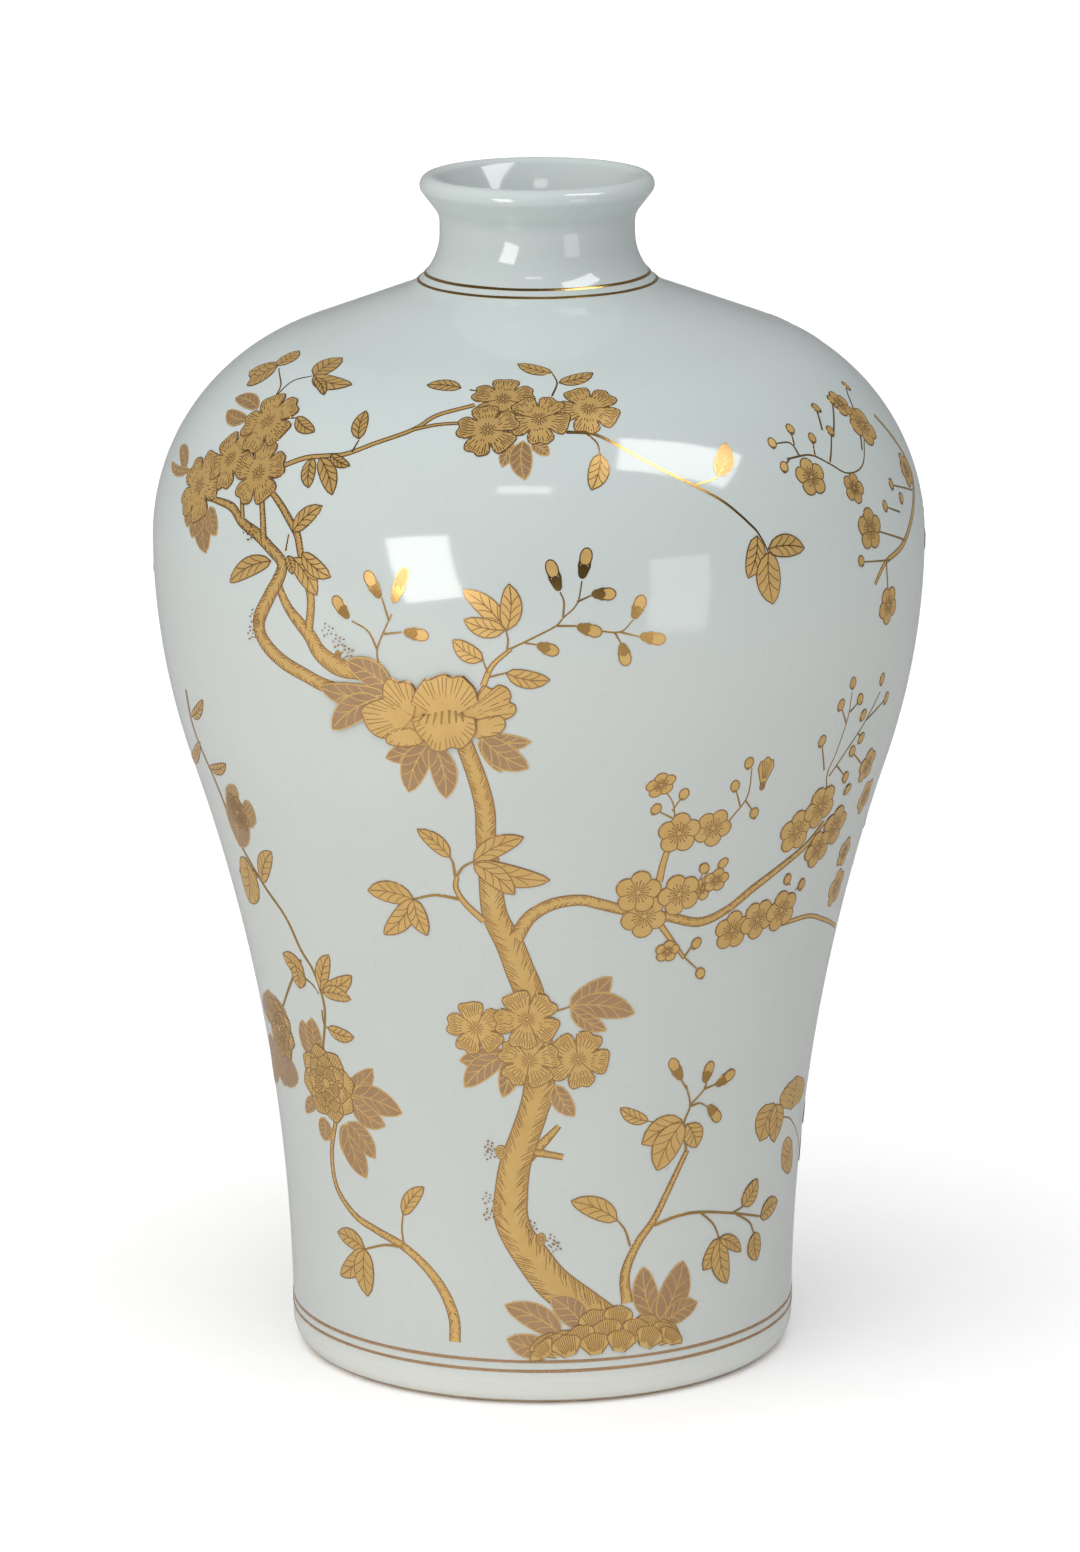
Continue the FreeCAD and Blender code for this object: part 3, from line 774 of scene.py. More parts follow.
def arching_branch(g):
    """The thin branch that arches over the shoulder, with four open flowers on its crest."""
    stem(g, (566, 432, 593, 434, 619, 446, 655, 466, 695, 486, 721, 500, 739, 514, 756, 530), 3.6)
    stems(g, ((587, 434, 597, 443, 600, 454), (695, 485, 712, 480, 718, 476),
        (756, 530, 763, 541, 768, 552), (470, 390, 485, 392), (552, 396, 557, 383, 552, 373)))
    leaves(g, [(461, 388, 427, 385, 11), (552, 373, 519, 364, 10), (559, 383, 592, 373, 11),
        (600, 454, 591, 490, 21), (718, 476, 725, 443, 19), (757, 536, 748, 578, 19),
        (768, 552, 773, 604, 24), (768, 549, 804, 548, 23)])
    leaves(g, [(514, 445, 502, 467, 13), (532, 444, 549, 455, 13), (523, 441, 525, 480, 23)], True)
    each(blossom, g, ((589, 409, 29, 0.7), (503, 399, 29, 0.3), (539, 419, 29, 1.0),
        (488, 430, 29, 0.55)))


def bud_sprays(g):
    """The sprays of large buds over the big flower, with their leaves."""
    stems(g, ((384, 677, 377, 653, 384, 631, 392, 614), (377, 649, 368, 631, 352, 621),
        (389, 621, 382, 598), (384, 634, 402, 632), (510, 649, 533, 638, 556, 626, 563, 618,
        577, 604, 582, 581), (563, 617, 564, 602, 560, 592), (577, 602, 592, 595),
        (557, 626, 575, 626, 583, 627), (525, 643, 538, 645), (593, 630, 620, 632, 633, 620),
        (620, 632, 641, 637), (615, 633, 622, 645)))
    branch(g, (483, 686, 492, 666, 511, 649), (6, 3), False)
    stem(g, (507, 650, 508, 640, 506, 630), 2.0)
    stems(g, ((488, 673, 485, 666, 483, 660), (489, 677, 506, 673)))
    each(large_bud, g, ((338, 603, 345, 613), (370, 579, 377, 592), (402, 578, 396, 595),
        (421, 635, 410, 633), (552, 569, 557, 584), (586, 557, 583, 572), (608, 594, 598, 594),
        (640, 603, 636, 613), (551, 650, 543, 647), (594, 631, 583, 628), (658, 639, 646, 637),
        (625, 658, 623, 649)))
    leaves(g, [(506, 630, 463, 590, 20), (505, 630, 464, 620, 19), (507, 630, 509, 584, 22),
        (483, 660, 453, 640, 18), (506, 673, 550, 680, 18)])


def big_flower(g):
    """The large open flower where the trunk forks, with the brown leaves round it."""
    leaves(g, [(392, 690, 348, 660, 24), (386, 694, 321, 686, 24), (380, 697, 334, 728, 28),
        (424, 742, 386, 758, 22), (428, 744, 409, 792, 28), (434, 744, 446, 798, 26),
        (477, 735, 531, 742, 17), (480, 738, 501, 772, 20), (482, 738, 528, 768, 26)], True)
    heart = all_on_vase((398, 706, 424, 692, 470, 690, 498, 706, 492, 726, 472, 738, 434, 742,
        400, 732))
    g.lay([fan_patch(heart.mean(axis=0), heart, MATTE)])
    petal(g, (384, 697, 385, 683, 391, 678, 399, 682, 406, 681, 413, 685, 417, 694), (414, 715),
        0.6, 8)
    petal(g, (477, 699, 483, 686, 492, 689, 499, 685, 508, 689, 511, 697, 509, 702, 515, 705,
        515, 713, 506, 719, 490, 723), (460, 719), 0.62, 13)
    petal(g, (412, 702, 416, 692, 424, 680, 431, 679, 438, 676, 445, 674, 452, 677, 462, 676,
        469, 682, 475, 689, 478, 700), (446, 722), 0.42, 15)
    petal(g, (386, 697, 371, 702, 363, 709, 365, 716, 367, 723, 372, 730, 381, 736, 394, 737),
        (414, 716), 0.5, 11)
    petal(g, (474, 720, 500, 716, 505, 726, 497, 734, 478, 738), (462, 732), 0.25, 5)
    petal(g, (390, 731, 388, 741, 402, 745, 420, 743, 426, 736), (410, 728), 0.25, 6)
    petal(g, (413, 718, 418, 731, 426, 740, 433, 748, 443, 750, 452, 746, 462, 747, 471, 739,
        476, 730, 475, 718), (444, 711), 0.3, 17)
    for mark in ((419, 722, 424, 714), (427, 723, 430, 712), (434, 723, 437, 711),
            (442, 723, 443, 710), (450, 722, 450, 709), (457, 721, 456, 710), (464, 720, 461, 712)):
        g.lay([strip(all_on_vase(mark), (0.3, 0.7), BRIGHT)])


def trunk(g):
    """The trunk from the mound up to the big flower, with its knots and cut stubs."""
    branch(g, (528, 1158, 545, 1141, 559, 1126), (12, 9, 5))
    branch(g, (522, 1150, 540, 1153, 563, 1157), (9, 8, 6))
    branch(g, (463, 740, 478, 781, 485, 810, 486, 838, 490, 877, 495, 915, 510, 945, 519, 968,
        530, 997, 537, 1040, 539, 1086, 533, 1112, 524, 1138, 515, 1165, 511, 1196, 511, 1217,
        518, 1236, 533, 1258, 553, 1283, 588, 1310, 615, 1332),
        (18, 20, 21, 21, 24, 27, 30, 31, 32, 33, 33, 31, 31, 33, 36, 37, 36, 38, 39, 40, 44))
    each(knot, g, ((501, 1152, 8), (497, 1209, 7), (541, 1239, 7)))
    each(dots, g, ((490, 1154), (490, 1146), (488, 1198), (489, 1214), (532, 1226), (552, 1240),
        (556, 1246)), 7, 8)
    stem(g, (549, 1012, 560, 1010, 574, 1005), 2.2)
    leaves(g, [(570, 1006, 612, 977, 24), (573, 1005, 634, 1013, 26), (571, 1008, 606, 1030, 17),
        (503, 1050, 460, 1061, 22), (503, 1056, 465, 1087, 24), (508, 1056, 503, 1097, 20),
        (555, 1085, 574, 1116, 20)], True)
    each(blossom, g, ((476, 1028, 28, 0.5), (578, 1059, 30, 1.1), (529, 1060, 29, 0.2),
        (527, 1019, 31, 0.75)))


def trunk_twigs(g):
    """The twigs with leaves beside the middle of the trunk."""
    branch(g, (484, 921, 465, 903, 456, 888, 457, 877), (6.5, 4), False)
    stem(g, (459, 899, 436, 895, 414, 899), 3)
    stems(g, ((455, 876, 453, 863, 450, 857), (457, 876, 463, 867, 474, 861)), 2.6)
    leaves(g, [(450, 857, 417, 829, 15), (474, 861, 524, 837, 20), (476, 862, 549, 880, 21),
        (474, 863, 514, 894, 21), (414, 899, 368, 890, 21), (413, 899, 385, 934, 22),
        (414, 899, 427, 935, 18)])


def prunus_branch(g):
    """The long branch to the right, with round flowers and many small buds."""
    branch(g, (516, 938, 530, 917, 553, 904, 580, 900, 600, 904, 625, 910, 669, 917, 699, 922,
        726, 910, 752, 889, 779, 868, 806, 845, 824, 822),
        (15, 14, 13, 12, 12, 11, 10, 10, 9, 9, 8, 7, 6))
    branch(g, (659, 882, 663, 864, 669, 846), (8, 6), False)
    branch(g, (661, 926, 674, 944, 684, 958), (6, 3), False)
    branch(g, (780, 924, 808, 916, 823, 919, 835, 926), (5, 4), False)
    stems(g, ((675, 822, 673, 803, 665, 791), (672, 811, 684, 794), (672, 818, 658, 811),
        (728, 822, 747, 797, 752, 768), (740, 806, 736, 790), (745, 800, 754, 813),
        (684, 957, 693, 944), (684, 957, 699, 971), (827, 800, 827, 775, 836, 753, 848, 717,
        852, 692), (829, 776, 848, 748, 863, 725, 880, 692), (846, 723, 841, 706),
        (850, 712, 860, 700), (866, 720, 885, 699), (858, 733, 861, 738), (836, 765, 845, 777),
        (862, 765, 851, 751), (790, 885, 787, 879), (795, 890, 801, 884), (700, 880, 704, 869),
        (715, 876, 722, 864), (824, 770, 822, 746)), 1.8)
    each(prunus, g, ((703, 888, 13, 1.3, 0.8), (716, 880, 13, 0.2, 0.9), (732, 930, 19, 0.3, 1),
        (757, 919, 19, 1.0, 1), (781, 910, 19, 0.6, 1), (796, 831, 20, 0.4, 1),
        (820, 806, 20, 0.9, 1), (834, 826, 18, 0.2, 1), (817, 848, 17, 0.8, 1),
        (836, 887, 15, 0.5, 1), (867, 765, 14, 0.5, 1), (865, 796, 14, 0.9, 1),
        (844, 852, 12, 0.1, 1), (713, 828, 19, 1.1, 1), (679, 833, 21, 0.3, 1),
        (644, 916, 22, 0.9, 1), (638, 892, 22, 0.2, 1), (679, 894, 21, 0.7, 1),
        (661, 785, 15, 0.5, 0.75), (667, 951, 12, 0.2, 0.9)))
    half_blossom(g, (762, 787), (768, 757), 20)
    each(small_bud, g, ((684, 794), (656, 809), (749, 763), (735, 786), (754, 813), (704, 868),
        (723, 863), (696, 943), (700, 973), (787, 879), (801, 884), (853, 683), (841, 705),
        (860, 699), (882, 679), (886, 698), (863, 715), (861, 738), (852, 751), (845, 777),
        (847, 789), (822, 741)), 12)


def shoulder_prunus(g):
    """The flowering twigs high on the right."""
    branch(g, (875, 584, 886, 562, 905, 540, 913, 482, 905, 457, 874, 415), (4, 5, 6, 6, 5, 4),
        False)
    stems(g, ((787, 459, 810, 455, 830, 464, 847, 473, 862, 466, 864, 440),
        (800, 457, 790, 443, 773, 444), (815, 457, 812, 440), (830, 462, 831, 432),
        (833, 436, 832, 402), (822, 430, 816, 409), (862, 450, 850, 400, 846, 388),
        (794, 445, 790, 430), (905, 540, 870, 529), (890, 560, 862, 562), (900, 512, 886, 507),
        (912, 490, 892, 485), (790, 458, 784, 467), (886, 562, 888, 600)), 2.0)
    each(prunus, g, ((811, 477, 17, 0.3), (862, 425, 17, 0.6), (854, 488, 13, 1.1),
        (870, 529, 17, 0.2), (888, 605, 15, 0.9), (840, 404, 12, 0.2), (906, 470, 13, 0.4)))
    each(small_bud, g, ((772, 443), (790, 429), (812, 438), (816, 408), (831, 400), (830, 431),
        (861, 561), (885, 506), (891, 484), (901, 498), (784, 467), (846, 386)), 11)


def left_vine(g):
    """The vine down the left side, with its full flowers, and its foot by the gilt lines."""
    stem(g, (186, 690, 194, 729, 215, 780, 237, 836, 262, 882, 285, 916, 301, 950, 313, 970,
        323, 999, 325, 1019, 323, 1050), 5)
    branch(g, (455, 1342, 454, 1318, 444, 1292, 426, 1267, 403, 1246, 378, 1231, 355, 1215,
        337, 1187, 332, 1154, 336, 1120), (12, 12, 11, 10, 9, 8, 7, 6, 5.5, 5))
    stem(g, (305, 978, 313, 985, 319, 994), 2.4)
    stem(g, (322, 1010, 324, 1024, 328, 1028), 2.2)
    stem(g, (404, 1245, 402, 1230, 403, 1215), 2.4)
    stems(g, ((403, 1247, 385, 1245, 365, 1249), (301, 960, 285, 1000, 278, 1024),
        (226, 795, 236, 806)), 3)
    leaves(g, [(305, 978, 283, 953, 13), (321, 990, 329, 955, 15), (323, 990, 352, 976, 18),
        (323, 992, 351, 999, 14), (328, 1028, 354, 1037, 13), (403, 1215, 424, 1187, 16),
        (365, 1249, 338, 1232, 16), (365, 1249, 341, 1275, 20), (365, 1249, 368, 1296, 19),
        (262, 882, 272, 852, 16), (258, 876, 240, 872, 12), (246, 858, 250, 902, 16),
        (210, 768, 226, 764, 12), (296, 966, 300, 988, 12), (192, 716, 203, 700, 10),
        (200, 742, 190, 758, 10)])
    leaves(g, [(345, 1093, 373, 1069, 22), (352, 1095, 402, 1113, 26), (350, 1099, 385, 1126, 20),
        (345, 1124, 344, 1154, 14), (346, 1124, 366, 1178, 20), (348, 1122, 375, 1158, 17),
        (318, 1100, 306, 1112, 14), (325, 1118, 324, 1140, 14), (310, 1056, 302, 1020, 15),
        (318, 1052, 312, 1018, 14), (240, 806, 240, 846, 24), (238, 806, 226, 788, 18),
        (242, 806, 256, 822, 18), (278, 1030, 268, 990, 18), (278, 1040, 284, 1085, 18),
        (276, 1040, 268, 1078, 16)], True)
    full_flower(g, (327, 1083), 34, 0.2)
    full_flower(g, (280, 1028), 24, 0.5)
    full_flower(g, (238, 812), 16, 0.3)


def shrub(g):
    """The shrub to the right of the mound, with its leaves and buds."""
    branch(g, (627, 1303, 625, 1274, 637, 1244, 654, 1219, 671, 1184, 687, 1150),
        (12, 10, 8, 7, 6, 5))
    stem(g, (630, 1246, 625, 1230, 617, 1220), 2.2)
    stem(g, (686, 1152, 684, 1128, 685, 1119, 690, 1105, 686, 1085), 2.4)
    stems(g, ((690, 1105, 704, 1089, 707, 1078), (704, 1089, 718, 1083),
        (691, 1106, 700, 1103, 709, 1108), (668, 1128, 657, 1123, 648, 1121)), 1.8)
    stem(g, (654, 1225, 677, 1216, 700, 1212, 732, 1213, 759, 1216), 3.2)
    stems(g, ((732, 1213, 742, 1207), (736, 1214, 749, 1222, 753, 1232)), 2)
    stem(g, (700, 1212, 713, 1224, 719, 1238), 2.2)
    stem(g, (772, 1118, 784, 1117, 792, 1121, 799, 1147), 2)
    each(large_bud, g, ((674, 1065, 679, 1075), (709, 1068, 706, 1077), (729, 1075, 720, 1082),
        (716, 1116, 711, 1109)), 0.95)
    stem(g, (686, 1088, 680, 1078), 1.8)
    leaves(g, [(617, 1220, 571, 1201, 22), (648, 1121, 620, 1108, 14), (742, 1206, 757, 1179, 13),
        (760, 1217, 777, 1201, 14), (754, 1232, 756, 1260, 13), (719, 1238, 703, 1270, 15),
        (719, 1238, 726, 1283, 18), (719, 1238, 740, 1251, 14), (774, 1103, 760, 1141, 20),
        (776, 1104, 774, 1142, 14), (791, 1109, 797, 1076, 20), (792, 1142, 782, 1168, 16)])
    leaves(g, [(682, 1120, 642, 1144, 23), (687, 1124, 696, 1147, 22), (682, 1122, 657, 1170, 26)])


MOUND_LEFT, MOUND_RIGHT = 536, 678
MOUND_ROWS = 3
TUFT_SPACING, TUFT_WIDTH = 24.0, 33
MOUND_TOP = ((536, 1350), (545, 1334), (560, 1329), (576, 1325), (581, 1314), (594, 1307),
             (609, 1303), (624, 1303), (637, 1309), (652, 1315), (668, 1321), (678, 1331))
MOUND_FOOT = ((536, 1354), (580, 1356), (612, 1352), (648, 1346), (678, 1339))


def mound(g):
    """The mound of moss and leaves at the foot of the trunk."""
    leaves(g, [(562, 1335, 505, 1305, 26), (550, 1347, 507, 1339, 24), (585, 1328, 551, 1297, 28),
        (655, 1320, 643, 1267, 26), (660, 1320, 683, 1261, 28), (664, 1322, 697, 1302, 20)], True)
    tops = np.array(MOUND_TOP)
    foots = np.array(MOUND_FOOT)
    for row in range(MOUND_ROWS):
        places = np.arange(MOUND_LEFT + 10 + row % 2 * TUFT_SPACING / 2, MOUND_RIGHT - 3,
                           TUFT_SPACING)
        for first in (0, 1):
            tufts = []
            for px in places[first::2] + DRAW.uniform(-2.5, 2.5):
                top = np.interp(px, *tops.T)
                foot = np.interp(px, *foots.T)
                length = 24 if foot - top > 26 else 16
                py = min(top + length, foot) + max(foot - top - length, 0) * row / (MOUND_ROWS - 1)
                heading = math.pi / 2 - (px - 606) / 71 * 0.9 + DRAW.uniform(-0.15, 0.15)
                tufts.append(scallop(Spot(on_vase(px, py), heading), length * PIXEL,
                                     TUFT_WIDTH * PIXEL, 10, 0.10))
            lay_scallops(g, tufts)


MOTIFS = (upper_left_bough, trunk, arching_branch, bud_sprays, trunk_twigs, prunus_branch,
          shoulder_prunus, left_vine, shrub, mound, big_flower)
# Sprigs repeated at the sides, between the front and the back: the name of the place, the
# motif, its turn about the axis in degrees and how far it is moved up the side in millimetres
SIDE_SPRIGS = (
    ("left_high", trunk_twigs, -91, 78), ("left_middle", trunk_twigs, -90, 0),
    ("left_low", trunk_twigs, -93, -100), ("right_high", bud_sprays, 116, 0),
    ("right_middle", trunk_twigs, 117, 0), ("right_low", trunk_twigs, 117, -100),
)


# Materials

WHITE = (1.0, 1.0, 1.0, 1.0)


def colour(red, green, blue):
    """A linear colour from one written in sRGB, 0 to 255."""
    def linear(level):
        level /= 255
        return level / 12.92 if level <= 0.04045 else ((level + 0.055) / 1.055) ** 2.4
    return linear(red), linear(green), linear(blue), 1.0


class Nodes:
    """The nodes of a material or of the world, with short calls to add and join them."""

    def __init__(self, owner):
        owner.use_nodes = True
        self.tree = owner.node_tree

    def wire(self, node, **sockets):
        """Joins or sets a node's inputs; an underscore in a name stands for a space."""
        for name, value in sockets.items():
            self.link(value, node.inputs[name.replace("_", " ")])
        return node

    def link(self, value, socket):
        if isinstance(value, bpy.types.NodeSocket):
            self.tree.links.new(value, socket)
        else:
            socket.default_value = value

    def node(self, kind, **sockets):
        return self.wire(self.tree.nodes.new(kind), **sockets)

    def chain(self, kind, *values):
        """A node whose first inputs are joined in order."""
        node = self.node(kind)
        for socket, value in zip(node.inputs, values):
            self.link(value, socket)
        return node

    def range(self, value, low, high, start=0.0, end=1.0):
        return self.node("ShaderNodeMapRange", Value=value, From_Min=start, From_Max=end,
                         To_Min=low, To_Max=high).outputs["Result"]

    def ramp(self, value, *stops):
        """A colour that goes from the first stop to the second, each a position and a colour."""
        node = self.node("ShaderNodeValToRGB", Fac=value)
        for element, (position, tone) in zip(node.color_ramp.elements, stops):
            element.position = position
            element.color = tone
        return node.outputs["Color"]

    def multiplied(self, tone, other):
        node = self.node("ShaderNodeMix")
        node.data_type = "RGBA"
        node.blend_type = "MULTIPLY"
        return self.wire(node, Factor=1.0, A=tone, B=other).outputs["Result"]


class Finish(Nodes):
    """The nodes of a new material, varied by noise in the piece's own frame."""

    def __init__(self, name):
        self.material = bpy.data.materials.new(name)
        super().__init__(self.material)
        self.place = self.node("ShaderNodeTexCoord").outputs["Object"]

    def noise(self, scale, detail=3.0, roughness=0.5):
        return self.node("ShaderNodeTexNoise", Vector=self.place, Scale=scale, Detail=detail,
                         Roughness=roughness).outputs["Fac"]

    def bump(self, scale, distance, strength=0.5, detail=3.0):
        return self.node("ShaderNodeBump", Height=self.noise(scale, detail), Distance=distance,
                         Strength=strength).outputs["Normal"]

    def made(self, **sockets):
        self.wire(self.tree.nodes["Principled BSDF"], **sockets)
        return self.material


def glaze_material():
    """Pale blue-white glaze: glossy, mottled and rippled; paler at the foot, partly where it thins
    and partly as painted light from below, and tinted bluer towards the top as painted cool light
    from above.
    """
    nodes = Finish("celadon_glaze")
    height = nodes.node("ShaderNodeSeparateXYZ", Vector=nodes.place).outputs["Z"]
    tone = nodes.ramp(nodes.noise(9.0, 4.0, 0.6), (0.30, colour(204, 209, 207)),
                      (0.70, colour(210, 214, 211)))
    flecks = nodes.ramp(nodes.noise(420.0, 2.0, 0.6), (0.66, WHITE),
                        (0.82, (0.90, 0.90, 0.88, 1.0)))
    # Paler up to 14 mm high: partly the thin glaze's own colour, partly painted light standing in
    # for light that reaches the foot from below
    thin_and_lit_foot = nodes.ramp(nodes.range(height, 0.0, 1.0, 0.004, 0.014), (0.0, (1.0, 0.99, 0.97, 1.0)),
                      (1.0, (0.777, 0.788, 0.796, 1.0)))
    # Painted light: a warmer tint below 0.22 m and a bluer one above 0.32 m, standing in for cool
    # light from above
    painted_cool_top = nodes.ramp(nodes.range(height, 0.0, 1.0, 0.22, 0.32), (0.0, (1.0, 0.985, 0.95, 1.0)),
                       (1.0, (0.955, 1.0, 1.0, 1.0)))
    for layer in (flecks, thin_and_lit_foot, painted_cool_top):
        tone = nodes.multiplied(tone, layer)
    return nodes.made(Base_Color=tone, Roughness=nodes.range(nodes.noise(30.0), 0.05, 0.11),
                      Normal=nodes.bump(85.0, 0.0001, 0.35, 2.0), IOR=1.5)


def biscuit_material():
    """Bare fired porcelain on the foot: matte, grainy and a little toasted."""
    nodes = Finish("bare_porcelain")
    tone = nodes.ramp(nodes.noise(160.0, 5.0, 0.6), (0.25, colour(176, 150, 120)),
                      (0.75, colour(206, 190, 168)))
    return nodes.made(Base_Color=tone, Roughness=nodes.range(nodes.noise(500.0), 0.75, 0.95),
                      Normal=nodes.bump(1200.0, 0.0001))


def gilt_material(name, dark, light, metal, roughness, grains, relief):
    """Brushed gold between two tones, uneven in metal, roughness and relief, each by its grain."""
    nodes = Finish(name)
    tone_grain, metal_grain, rough_grain, relief_grain = grains
    tone = nodes.ramp(nodes.noise(tone_grain, 4.0, 0.6), (0.25, colour(*dark)),
                      (0.75, colour(*light)))
    return nodes.made(Base_Color=tone, Metallic=nodes.range(nodes.noise(metal_grain), *metal),
                      Roughness=nodes.range(nodes.noise(rough_grain), *roughness),
                      Normal=nodes.bump(relief_grain, relief))


def floor_material():
    """White studio paper with a faint tooth."""
    nodes = Finish("studio_paper")
    tone = nodes.ramp(nodes.noise(40.0), (0.3, colour(251, 251, 251)), (0.7, colour(253, 253, 253)))
    return nodes.made(Base_Color=tone, Roughness=nodes.range(nodes.noise(200.0), 0.85, 0.95),
                      Specular_IOR_Level=0.0)


glaze = glaze_material()
biscuit = biscuit_material()
# Fills: burnished matte gold, brushed on
matte_gilt = gilt_material("matte_gilt", (201, 162, 95), (211, 176, 113), (0.45, 0.6),
                           (0.36, 0.50), (120.0, 60.0, 300.0, 900.0), 0.00003)
# Brown leaves and the lines at the foot
lustre = gilt_material("bronze_lustre", (158, 124, 90), (173, 140, 104), (0.4, 0.55),
                       (0.20, 0.34), (140.0, 70.0, 260.0, 700.0), 0.00002)
# Stems, buds' cups and the lines at the neck, which mirror the room
bright_gilt = gilt_material("bright_gilt", (172, 134, 78), (190, 154, 94), (0.9, 1.0),
                            (0.16, 0.28), (140.0, 70.0, 260.0, 700.0), 0.00002)
# Outlines and hatching: glossy brown gold, dark where it mirrors the room and light elsewhere
drawn_line = gilt_material("drawn_gilt", (162, 124, 80), (178, 140, 94), (0.8, 0.95),
                           (0.20, 0.32), (160.0, 80.0, 240.0, 700.0), 0.00002)


# Turned coats

SEGMENTS = 384
ON_AXIS = 1e-6
SHARP = math.radians(40)


def stood(name, data):
    """A mesh, a light or a camera as an object of the scene."""
    thing = bpy.data.objects.new(name, data)
    bpy.context.scene.collection.objects.link(thing)
    return thing


def shown(name, mesh):
    """A piece of the vase from a mesh, attached to the root body."""
    piece = stood(name, mesh)
    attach(piece, "root")
    return piece


def turned(name, outline, material, slot, segments=SEGMENTS, wobble=None):
    """A closed outline turned about the axis; points on the axis become single vertices."""
    points = []
    rows = []
    for radius, height in outline:
        if radius < ON_AXIS:
            rows.append([len(points)] * segments)
            points.append((0.0, 0.0, height * MM))
            continue
        rows.append(list(range(len(points), len(points) + segments)))
        for k in range(segments):
            turn = 2 * math.pi * k / segments
            points.append((radius * MM * math.sin(turn), -radius * MM * math.cos(turn),
                           (height + (wobble(height, turn) if wobble else 0)) * MM))
    faces = []
    pairs = list(zip(rows, rows[1:] + rows[:1]))
    if outline[0][0] < ON_AXIS and outline[-1][0] < ON_AXIS:
        pairs.pop()
    for low, high in pairs:
        for k in range(segments):
            j = (k + 1) % segments
            face = [low[k], low[j], high[j], high[k]]
            face = [index for i, index in enumerate(face) if index != face[i - 1]]
            if len(face) > 2:
                faces.append(face)
    mesh = bpy.data.meshes.new(name)
    mesh.from_pydata(points, [], faces)
    mesh.materials.append(material)
    mesh.polygons.foreach_set("use_smooth", [True] * len(faces))
    mesh.set_sharp_from_angle(angle=SHARP)
    return shown(name, mesh)


def glaze_coats():
    step, coarse = 2.2, 8.0
    outer = side(0, 0, BARE_FOOT, step) + mouth(0, 0, False, step)
    clay = side(GLAZE, GLAZE, BARE_FOOT, coarse) + mouth(GLAZE, GLAZE, False, coarse / 2)
    coat = turned("outer_glaze_coat", outer + clay[::-1], glaze, "glaze")
    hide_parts("outer_glaze")
    lining = inside(0, coarse) + inside(GLAZE, step)[::-1]
    coat = turned("inner_glaze_coat", lining, glaze, "glaze")
    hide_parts("inner_glaze")
    under = BASE_RECESS - GLAZE
    bare = FOOT_BEVEL + BARE_FOOT
    ring_side = RECESS_RADIUS - GLAZE
    soft = 0.8
    outline = [(0.0, BASE_RECESS), (RECESS_RADIUS, BASE_RECESS), (RECESS_RADIUS, bare),
               (ring_side, bare + GLAZE), (ring_side, under - soft),
               (ring_side - 0.3 * soft, under - 0.3 * soft), (ring_side - soft, under)]
    outline += [(ring_side * share, under) for share in (0.8, 0.6, 0.4, 0.2)] + [(0.0, under)]
    coat = turned("base_glaze_coat", outline, glaze, "glaze", 192)
    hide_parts("base_glaze")


def wavering(height, turn):
    """The slight wander of a line that a hand holds still against the turning wheel."""
    return 0.05 * math.sin(3 * turn + height) + 0.03 * math.sin(11 * turn + 2 * height)


def gilt_line(name, node, height, finish):
    """A gilt line round the vase, domed a little where the brush left more gold."""
    along = np.interp(height, surface[:, 1], surface_length)
    half = LINE_WIDTH / 2
    across = np.array((-half, -0.9 * half, -0.4 * half, 0.4 * half, 0.9 * half, half,
                       0.8 * half, -0.8 * half))
    lifts = np.array((0.05, 0.85 * GILT, GILT, GILT, 0.85 * GILT, 0.05, -0.02, -0.02))
    points, _ = placed(np.zeros(len(across)), along + across, lifts)
    outline = [(-y, z) for _, y, z in points.tolist()]
    line = turned(name, outline, finish, "gilding", wobble=wavering)
    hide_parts(node)


# Build

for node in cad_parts.values():
    node.data.materials.clear()
    node.data.materials.append(biscuit)

glaze_coats()
neck_line = THROAT_HEIGHT - NECK_LINE_DROP
gilt_line("foot_line_lower_gilding", "foot_line_lower", FOOT_LINE_HEIGHT, lustre)
gilt_line("foot_line_upper_gilding", "foot_line_upper", FOOT_LINE_HEIGHT + FOOT_LINE_GAP,
          lustre)
gilt_line("neck_line_lower_gilding", "neck_line_lower", neck_line, bright_gilt)
gilt_line("neck_line_upper_gilding", "neck_line_upper", neck_line + NECK_LINE_GAP, bright_gilt)

for motif in MOTIFS:
    gilding = Gilding()
    motif(gilding)
    gilding.make(f"front_{motif.__name__}", 0.0)
    gilding.make(f"back_{motif.__name__}", math.pi)
    for place, sprig, turn, rise in SIDE_SPRIGS:
        if sprig is motif:
            gilding.make(f"{place}_{motif.__name__}", math.radians(turn), rise)


# Floor, light and camera

# Lights that the glaze mirrors: the pixels of their corners, their distance and their radiance
SOFTBOXES = {
    "window_left": ([(400, 534), (455, 541), (455, 592), (394, 610)], 1500, 8.6),
    "strip_right": ([(618, 440), (735, 452), (730, 492), (618, 468)], 1500, 7.8),
    "card_right": ([(645, 560), (702, 556), (713, 628), (652, 632)], 1800, 2.4),
    "streak_top": ([(496, 486), (552, 487), (552, 494), (496, 494)], 1500, 5.0),
}


def paper():
    """A sheet of white paper under the vase that ends in front of it, below the picture."""
    half, front, back = 6.0, -0.5, 6.0
    mesh = bpy.data.meshes.new("studio_floor")
    mesh.from_pydata([(-half, front, 0), (half, front, 0), (half, back, 0), (-half, back, 0)], [],
                     [(0, 1, 2, 3)])
    mesh.materials.append(floor_material())
    floor = stood("studio_floor", mesh)
    floor.visible_glossy = False


def mirrored(px, py):
    """Where on the vase a pixel falls, and the direction in which the glaze mirrors the camera."""
    point = seen(px, py)
    turn, along = on_vase(px, py)
    _, facing = placed(np.array([turn]), np.array([along]), 0.0)
    ray = sight(px, py)
    return point, ray - 2 * ray.dot(facing[0]) * facing[0]


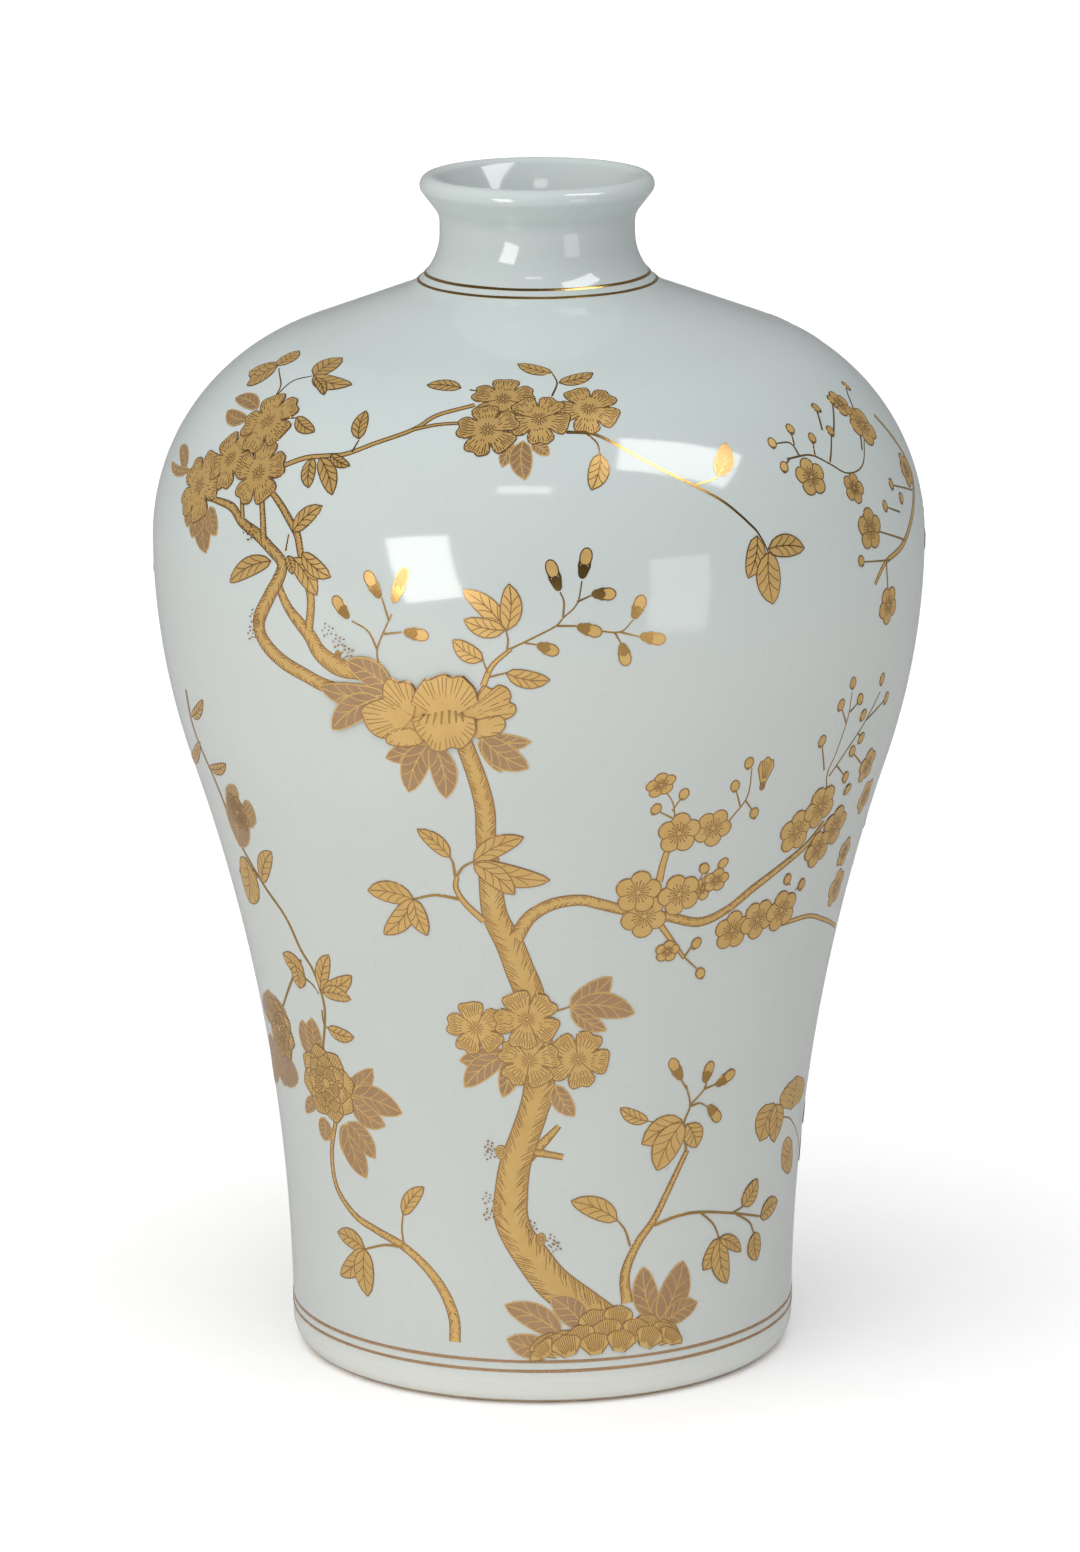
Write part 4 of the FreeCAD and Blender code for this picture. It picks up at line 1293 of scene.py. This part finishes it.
def softbox(name, corners, distance, radiance):
    """A rectangular light that the glaze mirrors between four pixels, in order round it."""
    places = []
    for px, py in corners:
        point, ray = mirrored(px, py)
        places.append(Vector((point + ray * distance) * MM))
    centre = sum(places, Vector()) / 4
    wide = ((places[1] - places[0]) + (places[2] - places[3])) / 2
    tall = ((places[1] - places[2]) + (places[0] - places[3])) / 2
    aim = (Vector((0, 0, VASE_HEIGHT / 2 * MM)) - centre).normalized()
    right = (wide - aim * wide.dot(aim)).normalized()
    up = right.cross(aim) * -1
    up = -up if up.dot(tall) < 0 else up
    light = bpy.data.lights.new(name, "AREA")
    light.shape = "RECTANGLE"
    light.size = wide.length
    light.size_y = tall.length
    light.energy = radiance * math.pi * wide.length * tall.length
    lamp = stood(name, light)
    back = -aim
    side_axis = up.cross(back)
    turned_to = Matrix((side_axis, up, back)).transposed().to_4x4()
    lamp.matrix_world = Matrix.Translation(centre) @ turned_to
    lamp.visible_diffuse = False


def studio_world():
    """White beyond the floor, soft fill from above and the left, and a dim room to be mirrored."""
    world = bpy.data.worlds.new("studio")
    bpy.context.scene.world = world
    nodes = Nodes(world)
    nodes.tree.nodes.clear()
    way = nodes.node("ShaderNodeTexCoord").outputs["Generated"]
    shares = nodes.node("ShaderNodeSeparateXYZ", Vector=way).outputs
    path = nodes.node("ShaderNodeLightPath").outputs

    def ranged(axis, start, end, low, high):
        """A level that goes with the direction's share along an axis."""
        return nodes.range(shares[axis], low, high, start, end)

    def joined(operation, first, second):
        node = nodes.chain("ShaderNodeMath", first, second)
        node.operation = operation
        return node.outputs[0]

    def product(first, second):
        return joined("MULTIPLY", first, second)

    def total(first, second):
        return joined("ADD", first, second)

    def background(strength, tone=WHITE):
        return nodes.node("ShaderNodeBackground", Color=tone, Strength=strength).outputs[0]

    def mixed(factor, first, second):
        return nodes.chain("ShaderNodeMixShader", factor, first, second).outputs[0]

    # The fill comes from the left and the front, from above and up off the paper, with some
    # more from high on the right
    height = product(ranged("Z", 0.0, 1.0, 0.74, 1.90), ranged("Z", -0.6, 0.0, 2.6, 1.0))
    fill = product(product(ranged("X", -1.0, 1.0, 0.78, 0.16), ranged("Y", -1.0, 0.7, 2.35, 0.25)),
                   height)
    fill = total(fill, product(ranged("X", -1.0, 1.0, 0.3, 1.0), ranged("Z", 0.2, 1.0, 0.0, 1.1)))
    # The room is dim behind the camera and lighter behind the vase, over a ground of pale paper
    walls = product(product(ranged("Y", -0.35, 0.45, 0.04, 0.26), ranged("Z", 0.3, 0.95, 1.0, 0.5)),
                    ranged("Z", -0.3, 0.05, 0.0, 1.0))
    ground = product(ranged("Y", -0.6, 0.6, 0.86, 0.52), ranged("Z", -0.3, 0.05, 1.0, 0.0))
    room = product(total(walls, ground), ranged("X", -1.0, 1.0, 1.0, 0.72))
    warm_to_cool = nodes.ramp(ranged("X", -1.0, 1.0, 0.0, 1.0), (0.0, (1.0, 0.985, 0.965, 1.0)),
                              (1.0, (0.96, 0.975, 1.0, 1.0)))
    light = mixed(path["Is Glossy Ray"], background(fill, warm_to_cool), background(room))
    light = mixed(path["Is Camera Ray"], light, background(1.0))
    nodes.chain("ShaderNodeOutputWorld", light)


def photographer():
    lens = bpy.data.cameras.new("camera")
    lens.sensor_width = SENSOR
    lens.sensor_fit = "AUTO"
    lens.lens = FOCAL_PIXELS * SENSOR / PHOTO_HEIGHT
    lens.clip_end = 50
    camera = stood("camera", lens)
    pitch = Matrix.Rotation(math.pi / 2 - CAMERA_PITCH, 4, "X")
    roll = Matrix.Rotation(-CAMERA_ROLL, 4, "Z")
    camera.matrix_world = Matrix.Translation(Vector(CAMERA_PLACE * MM)) @ pitch @ roll
    bpy.context.scene.camera = camera


paper()
for name, (corners, distance, radiance) in SOFTBOXES.items():
    softbox(name, corners, distance, radiance)
studio_world()
photographer()
bpy.context.scene.view_settings.view_transform = "Standard"
